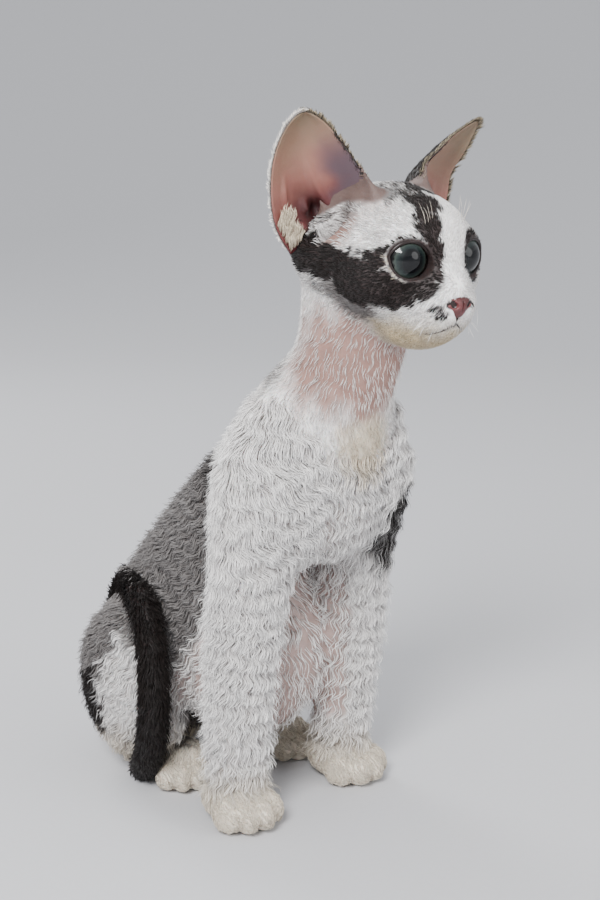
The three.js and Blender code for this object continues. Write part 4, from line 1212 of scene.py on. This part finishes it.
# %% Ear skin
def ear_material():
    """Thin bare skin that light shines into: taupe at the tip, then pink, then dark red towards the base.
    Painted shade darkens it deep in the cup by the canal, and a purple-grey painted shadow of the hair lies
    over the cup's front.
    """
    material, tree, output = new_material("ear_skin")
    cup = add_node(tree, "ShaderNodeAttribute", {"attribute_name": "cup"})
    split = add_node(tree, "ShaderNodeSeparateColor", {}, {0: cup.outputs["Color"]})
    upwards, canal, outside = split.outputs[0], split.outputs[1], split.outputs[2]
    place = add_node(tree, "ShaderNodeTexCoord").outputs["Object"]
    veins = add_node(tree, "ShaderNodeTexNoise", {},
                     {"Vector": place, "Scale": pattern_scale(9.091), "Detail": 5})
    down = add_node(tree, "ShaderNodeTexNoise", {},
                    {"Vector": place, "Scale": pattern_scale(1.111), "Detail": 3})
    wobble = add_node(tree, "ShaderNodeMath", {"operation": "MULTIPLY_ADD"},
                      {0: veins.outputs[0], 1: 0.3, 2: -0.15})
    height = add_node(tree, "ShaderNodeMath", {"operation": "ADD"}, {0: upwards, 1: wobble.outputs[0]})
    ramp = add_node(tree, "ShaderNodeValToRGB", {}, {0: height.outputs[0]})
    set_stops(ramp.color_ramp, [(0.0, "#4a1d20"), (0.2, "#6e3a38"), (0.4, "#97655a"),
                                (0.62, "#93725f"), (0.9, "#7d6a55")])
    colour = ramp.outputs[0]
    # Laid over the ramp: painted shade by the canal, the painted shadow of the hair over the front, and the
    # outer layer's dark skin.
    for share, over in ((canal, "#2c090d"), (cup.outputs["Alpha"], "#58464e"), (outside, "#1d1614")):
        colour = add_node(tree, "ShaderNodeMix", MIX, {0: share, 6: colour, 7: linear(over)}).outputs[2]
    bump = add_node(tree, "ShaderNodeBump", {},
                    {"Strength": 0.3, "Distance": 0.3 * MM, "Height": down.outputs[0]})
    shader = add_node(tree, "ShaderNodeBsdfPrincipled", {}, {
        "Base Color": colour, "Roughness": 0.5, "Subsurface Weight": 0.2, "Normal": bump.outputs[0],
        "Subsurface Radius": (1.0, 0.3, 0.2), "Subsurface Scale": 2 * MM})
    tree.links.new(shader.outputs[0], output.inputs[0])
    return material


# %% Hair on the ears
def ear_coat(name, part, t, s, outward, length, width, marks, **ways):
    """Tufts on an ear, from places t and s on its outer (1) or inner (-1) layer, towards the tip."""
    side = dict(SIDES)[name]
    normals = ear_normals(t, s, name, side)
    roots = ear_sheet(t, s, name, side) + normals * (ear_relief(t, s) - outward * 0.35)[:, None]
    step = 0.01
    up = ear_sheet(np.minimum(t + step, 1), s, name, side) - ear_sheet(t - step, s, name, side)
    over = ear_sheet(t, np.minimum(s + step, 1), name, side) - ear_sheet(t, s - step, name, side)
    up, over = unit(up), unit(over)
    lie = unit(up * ways.pop("upwards", 1.0) + over * ways.pop("sideways", 0.0))
    marks = np.tile(np.array(marks, float), (len(t), 1))
    grow("coat_ear_" + part + "_" + name, roots, -outward * normals, length, width, lie=lie,
         marks=marks, **ways)


# %% Both ears
ear_look = ear_material()
plush, rim_brown = (0.95, 0.2, 0, 0), (0.55, 0.2, 0, 0.9)  # shares of black, grey, bare and cream
fuzz_white, tuft_cream = (0, 0.1, 0, 0.2), (0, 0, 0, 0.75)
for name, side in SIDES:
    shell = ear_object(name, side)
    shell.data.materials.append(ear_look)
    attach(shell, "root")
    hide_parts("ear_" + name)
    t, s = draw.uniform(0.02, 0.97, 6000), draw.uniform(0, 1, 6000)
    ear_coat(name, "back", t, s, 1, 2.6, 0.34, plush, lift=0.35, gather=0.2, lock=2.5,
             ragged=0.6, seed=201)
    t, s = draw.uniform(0.1, 0.99, 900), draw.uniform(0, 0.05, 900)
    ear_coat(name, "front_rim", t, s, 1, 2.4, 0.26, rim_brown, lift=0.2, ragged=0.9,
             sideways=-0.8, seed=202)
    t, s = draw.uniform(0.02, 0.99, 1100), draw.uniform(0.95, 1, 1100)
    ear_coat(name, "outer_rim", t, s, 1, 3, 0.26, fuzz_white if side < 0 else rim_brown, lift=0.2,
             ragged=1.0, sideways=0.8, seed=203)
    t, s = draw.uniform(0.0, 0.22, 420), draw.uniform(0.84, 0.99, 420)
    ear_coat(name, "base", t, s, -1, 5, 0.34, tuft_cream, rings=4, lift=1.5, gather=0.5, lock=3,
             ragged=1.5, sideways=-0.4, sway=0.8, seed=204)
    t, s = draw.uniform(0.05, 0.6, 900), draw.uniform(0.0, 1, 900) ** 1.6 * 0.34
    ear_coat(name, "inside", t, s, -1, 2.2, 0.2, (0.8, 0.3, 0, 0.3), lift=0.15, gather=0.2, lock=2,
             sideways=-0.3, seed=205)

# %% [markdown]
# ## Eyes
# The eyes are large, dark slate and wet. Each is a sphere that bulges a little at the cornea. Rings
# run from the gaze axis backwards, so the iris and the pupil can be drawn by how far a point is from
# that axis, with a clear coat on top for the wet shine.

# %% Eyeballs
gaze = turned(15, 0, 0) @ np.array([0, -1.0, 0])


def eyeball(name, side, rings=48, around=64):
    """A sphere whose front bulges a little as the cornea. Rings run from the gaze axis backwards."""
    axis = unit(head_turn @ (gaze * [side, 1, 1]))
    sideways = unit(np.cross(axis, [0, 0, 1]))
    upwards = np.cross(sideways, axis)
    polar = np.linspace(0, np.pi, rings)[:, None]
    turn = np.linspace(0, 2 * np.pi, around, endpoint=False)[None]
    cornea, cornea_edge = 0.5, 0.42  # mm that it bulges, and how far from the axis, in radians
    radius = eye_radius + cornea * np.exp(-(polar / cornea_edge) ** 4)
    centre = from_head(eye_place * [side, 1, 1])
    points = (centre + axis * (radius * np.cos(polar))[..., None]
              + (sideways * np.cos(turn)[..., None] + upwards * np.sin(turn)[..., None])
              * (radius * np.sin(polar))[..., None])
    index = np.arange(rings * around).reshape(rings, around)
    after = np.roll(index, -1, axis=1)
    quads = np.stack([index[:-1], after[:-1], after[1:], index[1:]], axis=-1).reshape(-1, 4)
    obj = mesh_object(name, points.reshape(-1, 3), quads)
    flat = np.stack([np.sin(polar) * np.cos(turn), np.sin(polar) * np.sin(turn),
                     np.cos(polar) + 0 * turn], axis=-1)
    shares = flat.reshape(-1, 3) * 0.5 + 0.5
    add_colours(obj, "globe", np.concatenate([shares, np.ones((rings * around, 1))], axis=1))
    return obj


# %% The wet eye's look
def eye_material():
    """A wet cornea over a slate iris with an upright oval pupil. It gives the face its life."""
    material, tree, output = new_material("wet_eye")
    globe = add_node(tree, "ShaderNodeAttribute", {"attribute_name": "globe"})
    local = add_node(tree, "ShaderNodeVectorMath", {"operation": "MULTIPLY_ADD"},
                     {0: globe.outputs["Color"], 1: (2, 2, 2), 2: (-1, -1, -1)})
    flat = add_node(tree, "ShaderNodeVectorMath", {"operation": "MULTIPLY"},
                    {0: local.outputs[0], 1: (1, 1, 0)})
    away = add_node(tree, "ShaderNodeVectorMath", {"operation": "LENGTH"}, {0: flat.outputs[0]})
    oval = add_node(tree, "ShaderNodeVectorMath", {"operation": "MULTIPLY"},
                    {0: flat.outputs[0], 1: (1.25, 1, 0)})
    pupil = add_node(tree, "ShaderNodeVectorMath", {"operation": "LENGTH"}, {0: oval.outputs[0]})
    grain = add_node(tree, "ShaderNodeTexNoise", {}, {"Vector": local.outputs[0], "Scale": 9, "Detail": 6})
    wobble = add_node(tree, "ShaderNodeMath", {"operation": "MULTIPLY_ADD"},
                      {0: grain.outputs[0], 1: 0.12, 2: -0.06})
    rough = add_node(tree, "ShaderNodeMath", {"operation": "ADD"},
                     {0: away.outputs["Value"], 1: wobble.outputs[0]})
    ramp = add_node(tree, "ShaderNodeValToRGB", {}, {0: rough.outputs[0]})
    set_stops(ramp.color_ramp, [(0.2, "#060a0b"), (0.4, "#0c1213"), (0.5, "#212a29"),
                                (0.56, "#333b36"), (0.61, "#010101")])
    edge = add_node(tree, "ShaderNodeMapRange", {}, {0: pupil.outputs["Value"], 1: 0.38, 2: 0.43})
    colour = add_node(tree, "ShaderNodeMix", MIX,
                      {0: edge.outputs[0], 6: linear("#020306"), 7: ramp.outputs[0]})
    shader = add_node(tree, "ShaderNodeBsdfPrincipled", {}, {
        "Base Color": colour.outputs[2], "Roughness": 0.4, "IOR": 1.376, "Specular IOR Level": 0.1,
        "Coat Weight": 1.0, "Coat Roughness": 0.015, "Coat IOR": 1.376})
    tree.links.new(shader.outputs[0], output.inputs[0])
    return material


# %% Both eyes
eye_look = eye_material()
for name, side in SIDES:
    ball = eyeball("eyeball_" + name, side)
    ball.data.materials.append(eye_look)
    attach(ball, "root")
    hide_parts("eye_" + name)
    print(ball.name, len(ball.data.vertices), "vertices")

# %% [markdown]
# ## Nose
# The nose leather is a small moist pad with two nostrils and a groove down its middle. It comes from
# the same kind of field as the body, on a finer lattice, because its cuts are only a millimetre wide.

# %% Nose leather
def nose_level(p):
    """Two blended ellipsoids, less nostrils, their slits and the middle groove."""
    q = to_head(p)
    q[..., 0] = np.abs(q[..., 0])
    form = blend(2, ellipsoid(q, (0, -30.1, -13.2), (6, 3.5, 2.9)),
                 ellipsoid(q, (0, -29.9, -15.8), (2.8, 2.9, 2.8)))
    hole = ellipsoid(q, (3.2, -33.2, -13.6), (1.5, 3, 1.1), turned(0, 0, -25))
    slit = ellipsoid(q, (5, -31.6, -12.8), (2.1, 3, 0.7), turned(0, 0, 15))
    groove = ellipsoid(q, (0, -33.6, -15.5), (0.3, 1.1, 4.5))
    return smooth_max(smooth_max(form, -np.minimum(hole, slit), 0.5), -groove, 0.4)


# %% The nose's look
def nose_material():
    """Moist pebbled nose leather: dusky red, with small highlights from its pebbles."""
    material, tree, output = new_material("nose_leather")
    place = add_node(tree, "ShaderNodeTexCoord").outputs["Object"]
    pebble = add_node(tree, "ShaderNodeTexVoronoi", {}, {"Vector": place, "Scale": pattern_scale(0.5556)})
    bump = add_node(tree, "ShaderNodeBump", {},
                    {"Strength": 0.4, "Distance": 0.2 * MM, "Height": pebble.outputs[0]})
    dark = add_node(tree, "ShaderNodeTexNoise", {}, {"Vector": place, "Scale": pattern_scale(6.25)})
    tone = add_node(tree, "ShaderNodeMapRange", {}, {0: dark.outputs[0], 1: 0.35, 2: 0.65})
    colour = add_node(tree, "ShaderNodeMix", MIX,
                      {0: tone.outputs[0], 6: linear("#4a2323"), 7: linear("#84484a")})
    shader = add_node(tree, "ShaderNodeBsdfPrincipled", {}, {
        "Base Color": colour.outputs[2], "Roughness": 0.42, "Normal": bump.outputs[0],
        "Subsurface Weight": 0.15, "Subsurface Radius": (1.0, 0.3, 0.2), "Subsurface Scale": MM})
    tree.links.new(shader.outputs[0], output.inputs[0])
    return material


# %% The nose in place
nose_middle = from_head([0, -30, -14])
nose_planes = [planes_of((nose_middle[k] - 9, nose_middle[k] + 9, 0.32)) for k in range(3)]
nose_points, nose_quads = surface_net(nose_level, nose_planes)
leather = mesh_object("nose_tip", settled(nose_level, nose_points, farthest=0.15), nose_quads)
leather.data.materials.append(nose_material())
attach(leather, "root")
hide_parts("nose")
print(leather.name, len(nose_quads), "quads")

# %% [markdown]
# ## Lid rims, lips and whiskers
# Lid rims and lips are thin bare edges of dark skin. A bevelled curve would do, but a tube of our own
# is a mesh at once: a ring of corners carried along a path, as thick as the path's radii say.

# %% Tubes
def tube(name, path, radii, outward, material, corners=8, closed=False):
    """Rings of corners round a path: its point plus radius times (cos outward + sin sideways)."""
    along = np.roll(path, -1, axis=0) - np.roll(path, 1, axis=0) if closed else np.gradient(path, axis=0)
    sideways = unit(np.cross(unit(along), outward))
    outward = unit(np.cross(sideways, along))
    turn = np.linspace(0, 2 * np.pi, corners, endpoint=False)[None, :, None]
    spokes = np.cos(turn) * outward[:, None] + np.sin(turn) * sideways[:, None]
    rings = path[:, None] + radii[:, None, None] * spokes
    index = np.arange(len(path) * corners).reshape(len(path), corners)
    index = np.vstack([index, index[:1]]) if closed else index
    after = np.roll(index, -1, axis=1)
    quads = np.stack([index[:-1], index[1:], after[1:], after[:-1]], axis=-1).reshape(-1, 4)
    faces = np.concatenate([quads[:, [0, 1, 2]], quads[:, [0, 2, 3]]])
    if not closed:
        start = np.stack([0 * index[0, 1:-1] + index[0, 0], index[0, 1:-1], index[0, 2:]], axis=1)
        end = np.stack([0 * index[-1, 1:-1] + index[-1, 0], index[-1, 2:], index[-1, 1:-1]], axis=1)
        faces = np.concatenate([faces, start, end])
    obj = mesh_object(name, rings.reshape(-1, 3), faces)
    obj.data.materials.append(material)
    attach(obj, "root")
    return obj


# %% The rims' look
def dark_skin():
    """Dark moist skin of lid rims and lips, which draws the eyes and the mouth."""
    material, tree, output = new_material("dark_moist_skin")
    place = add_node(tree, "ShaderNodeTexCoord").outputs["Object"]
    grain = add_node(tree, "ShaderNodeTexNoise", {},
                     {"Vector": place, "Scale": pattern_scale(1.4286), "Detail": 3})
    colour = add_node(tree, "ShaderNodeMix", MIX,
                      {0: grain.outputs[0], 6: linear("#0b0707"), 7: linear("#2a1b19")})
    bump = add_node(tree, "ShaderNodeBump", {},
                    {"Strength": 0.2, "Distance": 0.2 * MM, "Height": grain.outputs[0]})
    shader = add_node(tree, "ShaderNodeBsdfPrincipled", {}, {
        "Base Color": colour.outputs[2], "Roughness": 0.38, "Specular IOR Level": 0.4,
        "Normal": bump.outputs[0]})
    tree.links.new(shader.outputs[0], output.inputs[0])
    return material


rim_look = dark_skin()


# %% Lid rims
def lid_rim(name, side, count=72):
    """A tube along the almond's edge, laid on a sphere just over the eyeball."""
    turn = np.linspace(0, 2 * np.pi, count, endpoint=False)
    corner = np.sqrt(lid_arc**2 - lid_offset**2)
    x = corner * np.cos(turn)
    z = (np.sqrt(lid_arc**2 - x**2) - lid_offset) * np.sign(np.sin(turn) + 1e-9)
    inner = smoothstep(-x, corner * 0.5, corner)
    x, z = x - 1.8 * inner, z - 1.3 * inner
    start = np.stack([x, 0 * x, z], axis=-1) @ eye_turn.T + [lid_shift, 0, 0]
    ahead = eye_turn @ np.array([0, -1.0, 0])
    across = start @ ahead
    over_eye = eye_radius + 0.45
    forwards = -across + np.sqrt(np.maximum(across**2 - (start**2).sum(axis=1) + over_eye**2, 0))
    local = start + forwards[:, None] * ahead
    path = from_head((eye_place + local) * [side, 1, 1])
    outward = unit(path - from_head(eye_place * [side, 1, 1]))
    radii = 0.5 + 0.2 * np.clip(z / 5, 0, 1) + 0.25 * inner
    return tube("lid_rim_" + name, path, radii, outward, rim_look, closed=True)


# %% Rims and lips in place
for name, side in SIDES:
    lid_rim(name, side)
    path = curve_at(lips[name], np.linspace(0, 0.92, 40))
    outward = unit(face_gradient(path))
    taper = np.interp(np.linspace(0, 1, 40), [0, 0.2, 0.8, 1], [0.5, 0.42, 0.3, 0.05])
    tube("lip_" + name, path - outward * 0.1, taper, outward, rim_look)
path = curve_at(philtrum, np.linspace(0, 1, 16))
outward = unit(face_gradient(path))
tube("philtrum", path - outward * 0.15, np.full(16, 0.3), outward, rim_look)
print("rims, lips and the groove between them are in place")


# %% [markdown]
# ## Whiskers
# A rex kitten's whiskers are few, short and bent. Each is one long tuft that starts along its
# direction and bends more towards its tip, as a path with a square term does.

# %% Whiskers
def whiskers(name, roots, directions, lengths, droop, radius, marks):
    """Single long curved hairs: each starts along its direction and bends towards the droop."""
    count, rings = len(roots), 9
    shares = np.linspace(0, 1, rings)
    bend = np.asarray(droop, float)
    path = roots[:, None] + lengths[:, None, None] * (
        shares[None, :, None] * directions[:, None] + (shares**2)[None, :, None] * bend[:, None])
    along = unit(np.gradient(path, axis=1))
    side_way = unit(np.cross(along, [0.3, 0.2, 1]))
    up_way = np.cross(side_way, along)
    width = radius * np.sqrt(1 - shares**2)[None, :, None]
    rows = np.stack([path + width * (a * side_way + b * up_way)
                     for a, b in ((-0.87, -0.5), (0.87, -0.5), (0, 1))], axis=2)
    tones = draw.uniform(0.7, 1, count)
    marks = np.tile(np.array(marks, float), (count, 1))
    return tuft_object(name, rows, unwrap(roots, directions), marks, tones)


# %% Whiskers in place
pad_count, brow_count = 12, 5  # whiskers on each pad and over each eye
for name, side in SIDES:
    pad_x, pad_z = draw.uniform(5.5, 10.5, pad_count), draw.uniform(-21, -15, pad_count)
    pad = onto_skin(from_head(np.stack([pad_x * side, -36 + 0.9 * pad_x, pad_z], axis=-1)), passes=12)
    out = unit(face_gradient(pad))
    way = 0.5 * out + head_turn @ np.array([0.4 * side, 1.1, -0.5])
    way = unit(way + 0.3 * draw.standard_normal((pad_count, 3)))
    bend = 0.4 * (head_turn @ np.array([-0.5 * side, 0.1, -1]))
    bend = bend + 0.25 * draw.standard_normal((pad_count, 3))
    lengths = draw.uniform(4, 8.5, pad_count)
    whiskers("whiskers_" + name, pad, way, lengths, bend, 0.11, (0, 0, 0, 0))
    brow_x, brow_y = draw.uniform(5, 11, brow_count), draw.uniform(-22, -17, brow_count)
    brow = np.stack([brow_x * side, brow_y, np.full(brow_count, 14.0)], axis=-1)
    brow = onto_skin(from_head(brow), passes=12)
    out = unit(face_gradient(brow))
    way = out * 0.5 + head_turn @ np.array([0.1 * side, 0.2, 0.9])
    way = unit(way + 0.12 * draw.standard_normal((brow_count, 3)))
    bend = 0.3 * (head_turn @ np.array([0.2 * side, 0.6, 0.1]))
    bend = bend + 0.1 * draw.standard_normal((brow_count, 3))
    lengths = draw.uniform(5, 9, brow_count)
    whiskers("brow_whiskers_" + name, brow, way, lengths, bend, 0.07, (0, 0, 0, 0.5))

# %% [markdown]
# ## Floor, light and camera
# The kitten stands alone on a pale floor that curves up behind it, so no horizon cuts the picture.
# A large soft key light from the kitten's right models the face. A fill and a rim light keep the
# far side open. The camera is where the photographer stood, worked out from the paws' contacts.

# %% Paint
def plain_material(name, colour, roughness):
    """An even paint whose tone changes by a few hundredths, so that it isn't flat."""
    material, tree, output = new_material(name)
    place = add_node(tree, "ShaderNodeTexCoord").outputs["Object"]
    grain = add_node(tree, "ShaderNodeTexNoise", {},
                     {"Vector": place, "Scale": pattern_scale(2.5), "Detail": 3})
    tone = add_node(tree, "ShaderNodeMapRange", {}, {0: grain.outputs[0], 3: 0.97, 4: 1.03})
    shade = add_node(tree, "ShaderNodeVectorMath", {"operation": "SCALE"},
                     {0: linear(colour)[:3], 3: tone.outputs[0]})
    shader = add_node(tree, "ShaderNodeBsdfPrincipled", {},
                      {"Base Color": shade.outputs[0], "Roughness": roughness})
    tree.links.new(shader.outputs[0], output.inputs[0])
    return material


# %% The floor
flat_radius, floor_radius, floor_rise = 1200, 3000, 900  # mm: level part, whole, height of its edge
floor_corners = 96
floor_radii = np.concatenate([np.linspace(0.02, flat_radius, 12), np.linspace(1300, floor_radius, 24)])
floor_turns = np.linspace(0, 2 * np.pi, floor_corners, endpoint=False)
rise = floor_rise * np.clip((floor_radii - flat_radius) / (floor_radius - flat_radius), 0, 1) ** 2
floor_points = np.stack([floor_radii[:, None] * np.cos(floor_turns),
                         floor_radii[:, None] * np.sin(floor_turns),
                         rise[:, None] + 0 * floor_turns], axis=-1) - shift * [1, 1, 0]
index = np.arange(len(floor_radii) * floor_corners).reshape(-1, floor_corners)
after = np.roll(index, -1, axis=1)
floor_quads = np.stack([index[:-1], index[1:], after[1:], after[:-1]], axis=-1).reshape(-1, 4)
floor = mesh_object("floor", floor_points.reshape(-1, 3), floor_quads)
floor.data.materials.append(plain_material("painted_floor", "#c6c6c9", 0.85))

# %% The sky
world = bpy.data.worlds.new("studio")
bpy.context.scene.world = world
world.use_nodes = True
sky = world.node_tree.nodes["Background"]
sky.inputs["Color"].default_value = linear("#dfe1e4")
sky.inputs["Strength"].default_value = 1.2


# %% Lights
def soft_light(name, place, target, size, power):
    """A round area light turned towards its target: its -Z along the line to it."""
    light = bpy.data.lights.new(name, "AREA")
    light.shape, light.size, light.energy = "DISK", size, power
    obj = bpy.data.objects.new(name, light)
    obj.location = place
    obj.rotation_euler = (Vector(target) - Vector(place)).to_track_quat("-Z", "Y").to_euler()
    bpy.context.scene.collection.objects.link(obj)


middle = (0, -0.03, 0.13)
soft_light("key", (-0.95, -0.55, 0.95), middle, 0.5, 29)
soft_light("fill", (0.3, -1.2, 0.5), middle, 0.8, 5)
soft_light("rim", (0.2, 1.1, 0.9), middle, 0.6, 8)
print("floor, world and three lights")

# %% Camera
camera_place = (np.array([-437.9, -467.9, 280.0]) + shift) * MM
camera_look = (0.69165, 0.69165, -0.20791)
camera = bpy.data.cameras.new("camera")
camera.lens, camera.sensor_width, camera.sensor_fit = 64, 36, "AUTO"
camera_object = bpy.data.objects.new("camera", camera)
camera_object.location = camera_place
camera_object.rotation_euler = Vector(camera_look).to_track_quat("-Z", "Y").to_euler()
bpy.context.scene.collection.objects.link(camera_object)
bpy.context.scene.camera = camera_object
print("camera at", camera_place.round(3))
